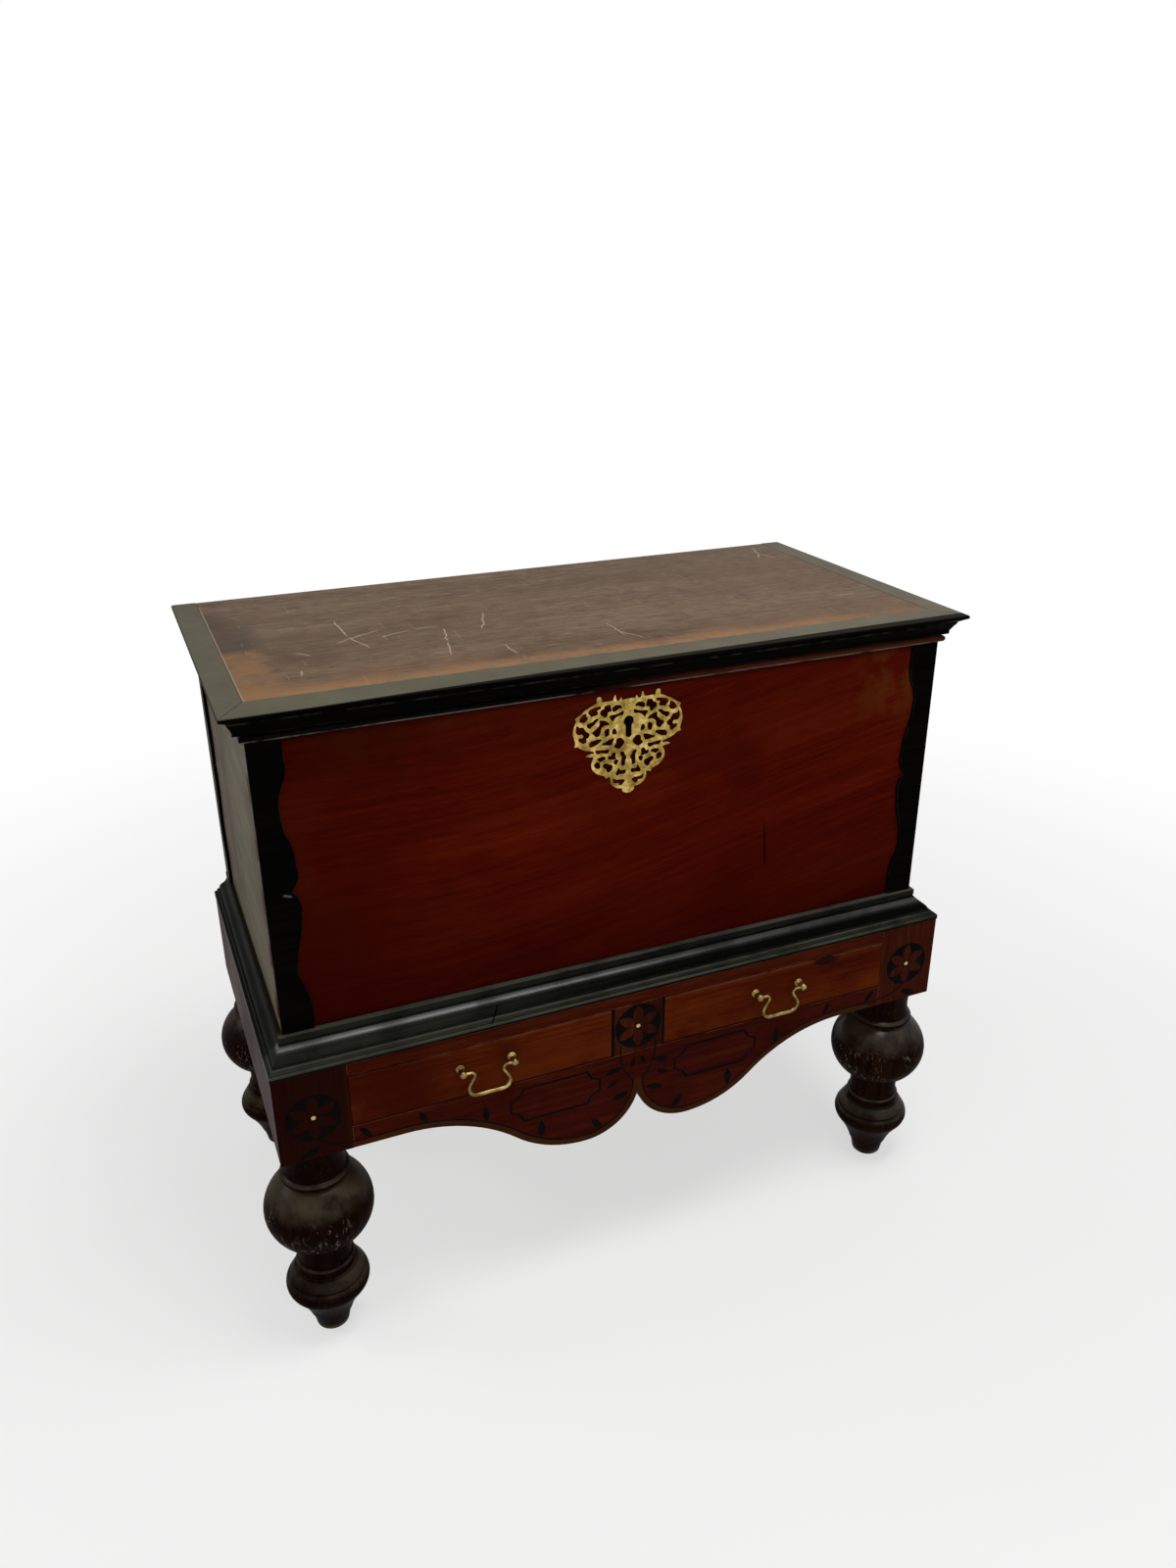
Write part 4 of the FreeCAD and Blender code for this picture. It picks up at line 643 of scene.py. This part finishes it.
colour = layered(
    shade_and_sheen_ramp,
    (quirk, step(stain + lines * 0.6, 0.72, 0.95) * 0.6),
    (dust_and_shade_ramp, left_dust),
    (side_black, (1 - on_front) * 0.8),
    (split_black, split),
    (moulding_edge, rubbed * 0.4))
on_ogee = step(level, 0.52, 0.6) * step(level, 0.7, 0.66) * on_front
shine = on_ogee * (step(stain, 0.7, 0.45) * 0.6 + 0.4) * 0.45
lay(moulding_black, colour, stain * 0.2 + 0.24, stain * 0.5 + lines * 0.3 - split, 0.0005, shine)

# %% [markdown]
# The inlay is the same wood, cut thin and rubbed down level with the face round it.

# %% Black wood of the inlay
inlay_tones = (0.0022, 0.0019, 0.0018), (0.0055, 0.0046, 0.0042)

inlay_black, place = new_finish("inlay_black", 0.008)
bands, pores = grain(place, 0, 5.0)
lay(inlay_black, black_tones(bands, *inlay_tones), bands * 0.2 + 0.36, pores, 0.0002)

# %% [markdown]
# ## Stand and drawers
# The stand's frame is the same red wood, darker on the posts and darkest on the left one, where
# shade is painted on. The drawer fronts are a warmer orange brown, golden towards the bottom and
# pale along the top edge where fingers pull, with a painted shadow line along the foot. A dark
# patch marks the top of the right drawer.

# %% Wood of the stand and the drawers
stand_edge, left_post_shade = (0.2, 0.095, 0.045), (0.009, 0.0013, 0.0008)
gold_brown, pulled_pale, gap_shadow_black = (0.118, 0.0215, 0.0018), (0.16, 0.08, 0.035), (0.004, 0.001, 0.0005)
drawer_shade, patch_dark = (0.028, 0.0016, 0.0004), (0.01, 0.003, 0.001)
patch_centre, patch_half_x, patch_half_z = (0.322, 0.4575), 0.0238, 0.0087


def stand_finish(name, along, dark, mid, pale, wear_and_shade=lambda place: []):
    """Dark red wood with rubbed edges, under the colours and shares that its wear and painted shade add.
    """
    finish, place = new_finish(name, 0.01)
    bands, pores = grain(place, along, 2.0)
    stain = cloud(place, 6.0)
    rubbed = rubbed_edges(place) * step(cloud(place, 32.0), 0.36, 0.58)
    colour = layered(
        wood_tones(bands, dark, mid, pale),
        (dark, step(stain, 0.48, 0.7) * 0.7),
        (stand_edge, rubbed * 0.5),
        *wear_and_shade(place))
    lay(finish, colour, stain * 0.25 + 0.33, bands * 0.5 + pores * 0.4, 0.0005)
    return finish


def left_post_shading(place):
    """Painted shade makes the left posts the darkest."""
    return [(left_post_shade, step(reading(place, 0), -0.4, -0.44) * 0.82)]


def drawer_wear_and_shade(place):
    """Gold at the foot over a painted shadow line, pale under the fingers, dark at the left end and in
    one patch.
    """
    x, z = reading(place, 0), reading(place, 2)
    golden = step(z, 0.445, 0.395) * step(cloud(place, 12.0), 0.34, 0.62)
    top_edge = step(z, 0.458, 0.4622) * step(cloud(place, 25.0), 0.3, 0.5)
    # Painted shadow: a dark line along the drawer front's foot, where the gap below shades it.
    gap_shadow_line = step(z, 0.3846, 0.3834)
    left_end = step(x, -0.24, -0.36) * step(cloud(place, 10.0), 0.2, 0.45)
    spread = oval(x, z, patch_centre, patch_half_x, patch_half_z) + cloud(place, 70.0, 3.0) * 1.4
    return [(gold_brown, golden * 0.6), (pulled_pale, top_edge * 0.25), (gap_shadow_black, gap_shadow_line * 0.85),
            (drawer_shade, left_end * 0.75), (patch_dark, step(spread, 1.75, 1.45) * 0.9)]


post_dark = stand_finish(
    "post_dark", 2, (0.021, 0.0032, 0.0013), (0.043, 0.0066, 0.0022), (0.068, 0.014, 0.0042), left_post_shading)
frame_red = stand_finish(
    "frame_red", 0, (0.026, 0.0024, 0.0009), (0.05, 0.0056, 0.0017), (0.078, 0.014, 0.0036))
side_frame = stand_finish(
    "side_frame", 1, (0.014, 0.004, 0.0022), (0.028, 0.009, 0.0048), (0.05, 0.019, 0.0095))
drawer_brown = stand_finish(
    "drawer_brown", 0, (0.036, 0.003, 0.0006), (0.072, 0.0082, 0.0011), (0.112, 0.019, 0.0024),
    drawer_wear_and_shade)

# %% [markdown]
# The apron has lost its polish in an olive brown band that follows its lobed lower edge. That edge
# is drawn with three circles on each half: one round the foot of the lobe, a wider one up its
# side, and one whose inside is the hollow next to it. The distance to the right circle tells
# where the band is.

# %% The apron's worn lower band
band_olive = (0.044, 0.017, 0.004)
string_inset, handover = 0.011, 0.001
lobe_middle, hollow_start = 0.085, 0.195
foot_centre, foot_radius = (lobe_middle, 0.3294), 0.0884
side_centre, side_radius = (lobe_middle, 0.4064), 0.1654
hollow_centre, hollow_radius = (0.3576, 0.1011), 0.2439


def beyond(u, v, centre, radius, soft=0.0015):
    """1 outside a circle on the apron's face, 0 inside it."""
    return step(oval(u, v, centre, radius, radius), 1.0 - soft / radius, 1.0 + soft / radius)


def apron_wear(place):
    """The olive band along the lobed lower edge."""
    half_x, z = abs(reading(place, 0)), reading(place, 2)
    near_foot = step(half_x, lobe_middle + handover, lobe_middle)
    near_side = step(half_x, hollow_start, hollow_start - handover)
    past_middle = step(half_x, lobe_middle, lobe_middle + handover)
    under_foot = beyond(half_x, z, foot_centre, foot_radius - string_inset) * step(z, 0.331, 0.327)
    under_side = beyond(half_x, z, side_centre, side_radius - string_inset) * past_middle
    in_hollow = 1 - beyond(half_x, z, hollow_centre, hollow_radius + string_inset)
    band = under_foot * near_foot + under_side * near_side + in_hollow * (1 - near_side)
    return [(band_olive, band * (cloud(place, 20.0) * 0.8 + 0.3))]


apron_red = stand_finish(
    "apron_red", 0, (0.023, 0.002, 0.0009), (0.044, 0.0044, 0.0016), (0.068, 0.0105, 0.0034), apron_wear)

# %% [markdown]
# ## Legs, brass, bone and what lies hidden
# The legs are black-brown below and grey-olive on every face that looks up, dust with a painted
# highlight, with scratches on the balls. The brass was cut from sheet and rubbed bright on its
# edges. The hidden wood is a plain pale brown, the back a darker one that never had polish, and
# the lock is iron.

# %% Finishes of legs, metal, bone and inside wood
leg_tones = (0.0032, 0.001, 0.0005), (0.0085, 0.0027, 0.0012), (0.019, 0.0066, 0.0028)
leg_dust_and_highlight, chip_pale, foot_pale = (0.066, 0.05, 0.029), (0.15, 0.128, 0.105), (0.16, 0.115, 0.065)

leg_dark, place = new_finish("leg_dark", 0.006)
x, z = reading(place, 0), reading(place, 2)
normal = facing(place)
looks_right, looks_up = reading(normal, 0), reading(normal, 2)
bands, pores = grain(place, 2, 1.0)
stain = cloud(place, 16.0, 6.0, 0.62)
# Faces that look up turn grey-olive: dust, and a painted highlight of the light above.
upward = step(looks_up + stain * 0.5, 0.5, 1.0)
below_ring = step(z, 0.298, 0.29)
on_ball = step(z, 0.182, 0.2) * step(z, 0.258, 0.236) * step(looks_right, 0.55, 0.05)
chips = cloud(stretched(place, (190.0, 190.0, 70.0)), 1.0, 4.0, 0.7)
chipped = step(chips, 0.56, 0.63) * step(cloud(place, 14.0), 0.4, 0.52) * (on_ball * 0.6 + 0.04)
foot_rim = step(z, 0.012, 0.003) * step(cloud(place, 60.0), 0.32, 0.6)
colour = layered(
    wood_tones(bands, *leg_tones),
    (leg_dust_and_highlight, upward * step(stain, 0.34, 0.6) * below_ring * 0.7),
    (chip_pale, chipped),
    (foot_pale, foot_rim * 0.7))
shine = upward * (step(x, 0.3, 0.4) * 0.2 + 0.09)
lay(leg_dark, colour, stain * 0.25 + 0.3, stain * 0.5 + pores * 0.3 - chipped * 0.4, 0.0006, shine)


def brass_finish(name, dark, mid, pale, edge):
    """Old brass: stained, patched with tarnish and rubbed bright on its edges."""
    finish, place = new_finish(name, 0.5, 1.0)
    stain = cloud(place, 70.0, 5.0, 0.65)
    patches = cloud(place, 22.0, 3.0)
    colour = layered(
        toned(stain, (0.34, dark), (0.5, mid), (0.66, pale)),
        (dark, step(patches, 0.52, 0.66) * 0.65),
        (edge, rubbed_edges(place) * 0.75))
    lay(finish, colour, stain * 0.3 + 0.2, stain + patches * 0.5, 0.0006)
    return finish


plate_brass = brass_finish("plate_brass", (0.15, 0.096, 0.018), (0.37, 0.252, 0.058),
                           (0.66, 0.5, 0.185), (0.88, 0.73, 0.42))
handle_brass = brass_finish("handle_brass", (0.09, 0.058, 0.018), (0.23, 0.158, 0.05),
                            (0.48, 0.35, 0.13), (0.6, 0.46, 0.2))

bone_dark, bone_pale = (0.5, 0.36, 0.13), (0.74, 0.58, 0.26)
bone, place = new_finish("bone", 0.4)
stain = cloud(place, 300.0)
lay(bone, toned(stain, (0.3, bone_dark), (0.7, bone_pale)), stain * 0.2 + 0.35, stain, 0.0001)

iron_dark, iron_grey, rust = (0.06, 0.054, 0.048), (0.11, 0.098, 0.088), (0.12, 0.06, 0.03)
dark_iron, place = new_finish("dark_iron", 0.5, 0.9)
stain = cloud(place, 80.0, 5.0)
colour = toned(stain, (0.35, iron_dark), (0.62, iron_grey), (0.75, rust))
lay(dark_iron, colour, stain * 0.3 + 0.35, stain, 0.0003)

inside_tones = (0.09, 0.05, 0.024), (0.15, 0.088, 0.044), (0.21, 0.135, 0.072)
inside_stain = (0.06, 0.034, 0.018)
inside_wood, place = new_finish("inside_wood", 0.2)
bands, pores = grain(place, 0, 9.0)
stain = cloud(place, 5.0)
colour = blended(wood_tones(bands, *inside_tones), inside_stain, step(stain, 0.55, 0.75) * 0.6)
lay(inside_wood, colour, stain * 0.2 + 0.55, bands * 0.5 + pores * 0.5, 0.0005)

back_tones = (0.022, 0.0105, 0.0055), (0.046, 0.024, 0.0125), (0.078, 0.045, 0.025)
back_stain = (0.014, 0.007, 0.004)
back_wood, place = new_finish("back_wood", 0.03)
bands, pores = grain(place, 0, 6.0, 0.5)
stain = cloud(place, 3.5, 5.0, 0.6)
colour = blended(wood_tones(bands, *back_tones), back_stain, step(stain, 0.5, 0.72) * 0.65)
lay(back_wood, colour, stain * 0.2 + 0.5, bands * 0.5 + pores * 0.5, 0.0006)

# %% [markdown]
# ## Finishes on the solids
# Pieces that keep the solid's own shape only get their finish: the boards under the strips, the
# inlay, the hinges, the lock and the drawer boxes.

# %% Finish the solids that are shown as they are
plain_solids = {
    front_red: ["chest_front"],
    side_faded_and_sheen: ["chest_left_side", "chest_right_side"],
    back_wood: ["chest_back"],
    inside_wood: ["chest_bottom", "back_rail", "drawer_runners", "drawer_kickers",
                  "left_drawer_sides", "left_drawer_back", "left_drawer_bottom",
                  "right_drawer_sides", "right_drawer_back", "right_drawer_bottom"],
    inlay_black: ["rosette_inlays", "string_inlays", "leaf_inlays"],
    bone: ["rosette_dots"],
    handle_brass: ["hinge_chest_leaves", "hinge_lid_leaves", "hinge_pins"],
    dark_iron: ["lock_case", "lock_bolt", "lid_staple", "left_handle_nuts", "right_handle_nuts"],
}
for finish, members in plain_solids.items():
    for node in members:
        nodes[node].data.materials.clear()
        nodes[node].data.materials.append(finish)
print("plain solids:", sum(len(members) for members in plain_solids.values()))

# %% [markdown]
# ## Boards, strips and mouldings with eased edges
# Each of these is a solid whose corners catch the light, so each is copied and eased. The inlaid
# pieces keep the sharp rims of the inlay's pockets, or a groove would open round the inlay.

# %% Ease the lid, the edging, the mouldings and the frame
pocket_depth = 0.003


def is_shallow(face):
    """True for the wall of an inlay's pocket, which is only as deep as the inlay."""
    depths = [corner.co.y for corner in face.verts]
    return abs(face.normal.y) < 0.5 and max(depths) - min(depths) < pocket_depth


def outside(edge):
    """True for an edge that belongs to no inlay's pocket."""
    return not any(is_shallow(face) for face in edge.link_faces)


ease("lid_panel", 0.0012, "lid", "lid_wood", lid_worn)
for side in ("front", "left", "right"):
    ease(f"lid_{side}_edging", 0.0016, "lid", "ebony", edging_black)
    ease(f"rim_moulding_{side}", 0.0008, "chest", "ebony", rim_worn_and_highlight)
    ease(f"base_moulding_{side}", 0.001, "stand", "ebony", moulding_black)
for node in ("front_left_strip", "front_right_strip", "rear_strips"):
    ease(node, 0.001, "chest", "ebony", edging_black)
for corner in ("front_left", "front_right", "back_left", "back_right"):
    ease(f"post_{corner}", 0.0015, "stand", "stand_wood", post_dark, outside)
ease("front_top_rail", 0.001, "stand", "stand_wood", frame_red, outside)
ease("centre_stile", 0.0008, "stand", "stand_wood", post_dark, outside)
ease("front_apron", 0.0012, "stand", "stand_wood", apron_red, outside)
for side in ("left", "right"):
    ease(f"{side}_apron", 0.0012, "stand", "stand_wood", side_frame, outside)
    ease(f"{side}_drawer_front", 0.0012, f"{side}_drawer", "drawer_wood", drawer_brown, outside)

# %% [markdown]
# ## Turned legs
# A turner shapes a leg on the lathe from one profile, and spin does the same: it swings a line
# of points round the axis. The profile goes up from a tapered peg over a cup, a torus, a bead and
# a waist to the big ball, then a ring and a neck under the post.

# %% Spin the four legs
def bowed(start, middle, end, count=6):
    """Places on a curve from start to end that passes a middle place."""
    pull = [2.0 * m - (a + b) / 2.0 for a, m, b in zip(start, middle, end)]
    shares = [i / count for i in range(1, count + 1)]
    return [tuple((1 - t) ** 2 * a + 2 * t * (1 - t) * k + t * t * b for a, k, b in zip(start, pull, end))
            for t in shares]


def spun(profile, steps, axis, centre):
    """A closed turned shape from places of radius and height along an axis of the frame."""
    mesh = bmesh.new()
    line = [mesh.verts.new((radius, 0.0, height)) for radius, height in profile]
    for low, high in zip(line, line[1:]):
        mesh.edges.new((low, high))
    bmesh.ops.spin(mesh, geom=mesh.verts[:] + mesh.edges[:], cent=(0, 0, 0), axis=(0, 0, 1),
                   angle=2 * pi, steps=steps, use_merge=True)
    bmesh.ops.remove_doubles(mesh, verts=mesh.verts, dist=1e-6)
    bmesh.ops.recalc_face_normals(mesh, faces=mesh.faces)
    turn = Vector((0, 0, 1)).rotation_difference(Vector(axis)).to_matrix().to_4x4()
    bmesh.ops.transform(mesh, matrix=Matrix.Translation(centre) @ turn, verts=mesh.verts)
    shade_smooth(mesh, radians(40))
    return mesh


ball_radius, ball_half, ball_height = 0.078, 0.067, 0.226
ball_start, ball_sweep, ball_steps = -60.4, 117.0, 26
ball_angles = [radians(ball_start + ball_sweep * i / ball_steps) for i in range(ball_steps + 1)]
leg_profile = [
    (0.0, 0.0), (0.0225, 0.0), (0.024, 0.0015), (0.029, 0.0255), (0.03, 0.0268), (0.0315, 0.027),
    *bowed((0.0315, 0.027), (0.04125, 0.05), (0.056, 0.073)),
    *bowed((0.056, 0.073), (0.061, 0.0855), (0.057, 0.098), 8),
    (0.054, 0.0982), (0.054, 0.1008), (0.055, 0.101),
    *bowed((0.055, 0.101), (0.0511, 0.108), (0.046, 0.115)),
    (0.0408, 0.1152), (0.0405, 0.1156), (0.0405, 0.122),
    *bowed((0.0405, 0.122), (0.043, 0.1265), (0.0405, 0.131)),
    (0.0385, 0.1312), (0.0385, 0.166),
    *[(ball_radius * cos(a), ball_height + ball_half * sin(a)) for a in ball_angles],
    *bowed((0.043, 0.2819), (0.05, 0.2884), (0.0445, 0.2949)),
    *bowed((0.0445, 0.2949), (0.042, 0.32), (0.047, 0.345)),
    (0.0, 0.345),
]
leg_x, leg_y = 0.48, 0.2225
for row, y in (("front", -leg_y), ("back", leg_y)):
    for side, x in (("left", -leg_x), ("right", leg_x)):
        leg = spun(leg_profile, 56, (0, 0, 1), (x, y, 0.0))
        add_piece(f"turned_leg_{row}_{side}", leg, "stand", "leg_wood", leg_dark, f"leg_{row}_{side}")

# %% [markdown]
# ## The lock plate
# The plate is sheet brass, sawn through in scrolls and filed round on its front edges. The solid's
# strands are stout, so the eased walls are drawn back into the metal, as a file does it, apart from
# the spikes on top and the keyhole. The faces are cut into triangles first, so that none fills an
# opening when its rim moves. Only the front edges are eased, because the back lies on the wood.
# The nails have low domes.

# %% Pierced plate and its nails
plate_low, plate_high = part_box("escutcheon")
plate_front, spike_height, filed_depth = plate_low.y, 0.011, 0.0008
keyhole_half, keyhole_foot, keyhole_top = 0.0095, 0.862, 0.902


def on_plate_front(edge):
    """True for an edge of the plate's front face."""
    return all(abs(corner.co.y - plate_front) < 1e-5 for corner in edge.verts)


def is_filed(place):
    """True for a place below the spikes and clear of the keyhole."""
    by_keyhole = abs(place.x) < keyhole_half and keyhole_foot < place.z < keyhole_top
    return place.z < plate_high.z - spike_height and not by_keyhole


def file_back(mesh):
    """Draw the sawn walls of the plate back into the metal."""
    bmesh.ops.triangulate(mesh, faces=mesh.faces)
    mesh.normal_update()
    moves = {}
    for corner in mesh.verts:
        outward = Vector()
        for face in corner.link_faces:
            outward += Vector((face.normal.x, 0.0, face.normal.z)) * face.calc_area()
        if outward.length > 0.0 and is_filed(corner.co):
            moves[corner] = outward.normalized() * filed_depth
    for corner, move in moves.items():
        corner.co -= move
    print("plate corners filed back:", len(moves))


ease("escutcheon", 0.0004, "chest", "brass", plate_brass, on_plate_front, file_back)

nail_places = [(0.0, 0.9139), (0.0, 0.8609), (0.0, 0.7926), (-0.0551, 0.8579), (0.0551, 0.8579)]
nail_dome = [(0.0, -0.0004), (0.0026, -0.0004), (0.0025, 0.0005), (0.0019, 0.0011),
             (0.001, 0.0014), (0.0, 0.0015)]
nails = bmesh.new()
for x, z in nail_places:
    gather(spun(nail_dome, 20, (0, -1, 0), (x, plate_front, z)), nails)
add_piece("plate_nails", nails, "chest", "brass", plate_brass, "escutcheon_nails")

# %% [markdown]
# ## Drawer handles
# Each bail hangs in two ball-headed posts. A post is turned: a small domed rose on the drawer,
# a neck, the ball and a button. The bail is drawn rod: a ring is extruded out of the ball, spun
# round the swan neck, run down the leg and spun into the bottom. Half is made and mirrored, and
# the rod then swells along the bottom, where fingers take hold.

# %% Spin the posts and draw the bails
drawer_face = -0.2725
pivot_y, pivot_z = -0.2865, 0.43
head_radius, head_height = 0.0057, 0.014
head_angles = [radians(36 + 10 * i) for i in range(14)]
post_profile = [
    (0.0, 0.0), (0.0066, 0.0), (0.0067, 0.0007), (0.0058, 0.0019), (0.0042, 0.0028),
    (0.0033, 0.0042), (0.0031, 0.0066), (0.0033, 0.009),
    *[(head_radius * sin(a), head_height - head_radius * cos(a)) for a in head_angles],
    (0.0012, 0.0196), (0.0011, 0.02), (0.0, 0.0203),
]

rod_radius, rod_swell, rod_thinned = 0.0023, 0.0009, 0.0002
neck_run, neck_radius, leg_run, bottom_radius = 0.011, 0.006, 0.014, 0.012
half_span, bend, bail_drop = 0.038, radians(120), 0.039


def drawn_rod(middle):
    """One bail: a rod bent round its swan necks, thin at the necks and swelled at the bottom."""
    rod = bmesh.new()
    ring = bmesh.ops.create_circle(rod, cap_ends=False, segments=14, radius=rod_radius,
                                   matrix=Matrix.Rotation(pi / 2, 4, "Y"))["verts"]
    bmesh.ops.translate(rod, verts=ring, vec=(-half_span, 0, 0))
    end = rod.edges[:]

    def run(length, heading, steps):
        """Pull the rod's end straight on."""
        nonlocal end
        move = (length / steps * cos(heading), 0, length / steps * sin(heading))
        for _ in range(steps):
            pulled = bmesh.ops.extrude_edge_only(rod, edges=end)["geom"]
            moved = [g for g in pulled if isinstance(g, bmesh.types.BMVert)]
            end = [g for g in pulled if isinstance(g, bmesh.types.BMEdge)]
            bmesh.ops.translate(rod, verts=moved, vec=move)

    def turn(centre, angle, steps):
        """Swing the rod's end round a centre."""
        nonlocal end
        last = bmesh.ops.spin(rod, geom=end, cent=(centre[0], 0, centre[1]), axis=(0, 1, 0),
                              angle=angle, steps=steps)["geom_last"]
        end = [g for g in last if isinstance(g, bmesh.types.BMEdge)]

    run(neck_run, 0.0, 2)
    neck_x = -half_span + neck_run
    turn((neck_x, -neck_radius), bend, 10)
    foot_x = neck_x + neck_radius * sin(bend) + leg_run * cos(bend)
    foot_z = -neck_radius + neck_radius * cos(bend) - leg_run * sin(bend)
    run(leg_run, -bend, 4)
    bottom_x, bottom_z = foot_x + bottom_radius * sin(bend), foot_z + bottom_radius * cos(bend)
    turn((bottom_x, bottom_z), -bend, 12)
    run(-bottom_x, 0.0, 4)
    both = rod.verts[:] + rod.edges[:] + rod.faces[:]
    bmesh.ops.mirror(rod, geom=both, axis="X", merge_dist=1e-5)
    bmesh.ops.remove_doubles(rod, verts=rod.verts, dist=1e-6)
    bmesh.ops.holes_fill(rod, edges=[e for e in rod.edges if e.is_boundary], sides=0)
    bmesh.ops.recalc_face_normals(rod, faces=rod.faces)
    rod.normal_update()
    for corner in rod.verts:
        depth = min(max(-corner.co.z / bail_drop, 0.0), 1.0)
        corner.co += corner.normal * (rod_swell * depth ** 2 - rod_thinned)
    bmesh.ops.translate(rod, verts=rod.verts, vec=(middle, pivot_y, pivot_z))
    shade_smooth(rod, radians(60))
    return rod


drawer_middle = 0.23625
for side, middle in (("left", -drawer_middle), ("right", drawer_middle)):
    posts = bmesh.new()
    for x in (middle - half_span, middle + half_span):
        gather(spun(post_profile, 24, (0, -1, 0), (x, drawer_face, pivot_z)), posts)
    add_piece(f"{side}_turned_posts", posts, f"{side}_drawer", "brass", handle_brass,
              f"{side}_handle_posts")
    add_piece(f"{side}_drawn_bail", drawn_rod(middle), f"{side}_bail", "brass", handle_brass,
              f"{side}_bail")

# %% [markdown]
# ## Hinge screws
# The hinges at the back are held by screws with slotted heads. A head is a low cone; two cuts
# across it leave a strip, and the strip is pushed in to make the slot.

# %% Slotted screws on the hinge leaves
head_foot, head_top, head_depth = 0.0034, 0.0029, 0.0008
slot_half, slot_depth = 0.0004, 0.0005
leaf_face, head_proud, slot_turn = 0.2745, 0.0003, 0.7
screw_places = (-0.332, -0.3, -0.268, 0.268, 0.3, 0.332)


def screw_head(at, angle):
    """One slotted head that looks backwards, its slot turned by an angle."""
    head = bmesh.new()
    bmesh.ops.create_cone(head, cap_ends=True, segments=20, radius1=head_foot, radius2=head_top,
                          depth=head_depth)
    for offset in (-slot_half, slot_half):
        everything = head.verts[:] + head.edges[:] + head.faces[:]
        bmesh.ops.bisect_plane(head, geom=everything, plane_co=(offset, 0, 0), plane_no=(1, 0, 0))
    strip = [f for f in head.faces if f.normal.z > 0.9 and abs(f.calc_center_median().x) < slot_half]
    pushed = bmesh.ops.extrude_face_region(head, geom=strip)["geom"]
    bmesh.ops.delete(head, geom=strip, context="FACES")
    bottom = [g for g in pushed if isinstance(g, bmesh.types.BMVert)]
    bmesh.ops.translate(head, verts=bottom, vec=(0, 0, -slot_depth))
    lie = Matrix.Translation(at) @ Matrix.Rotation(-pi / 2, 4, "X") @ Matrix.Rotation(angle, 4, "Z")
    bmesh.ops.transform(head, matrix=lie, verts=head.verts)
    return head


for body, z in (("chest", 0.9365), ("lid", 0.9685)):
    screws = bmesh.new()
    for number, x in enumerate(screw_places):
        gather(screw_head((x, leaf_face + head_proud, z), slot_turn * number), screws)
    add_piece(f"{body}_hinge_screws", screws, body, "iron", dark_iron)
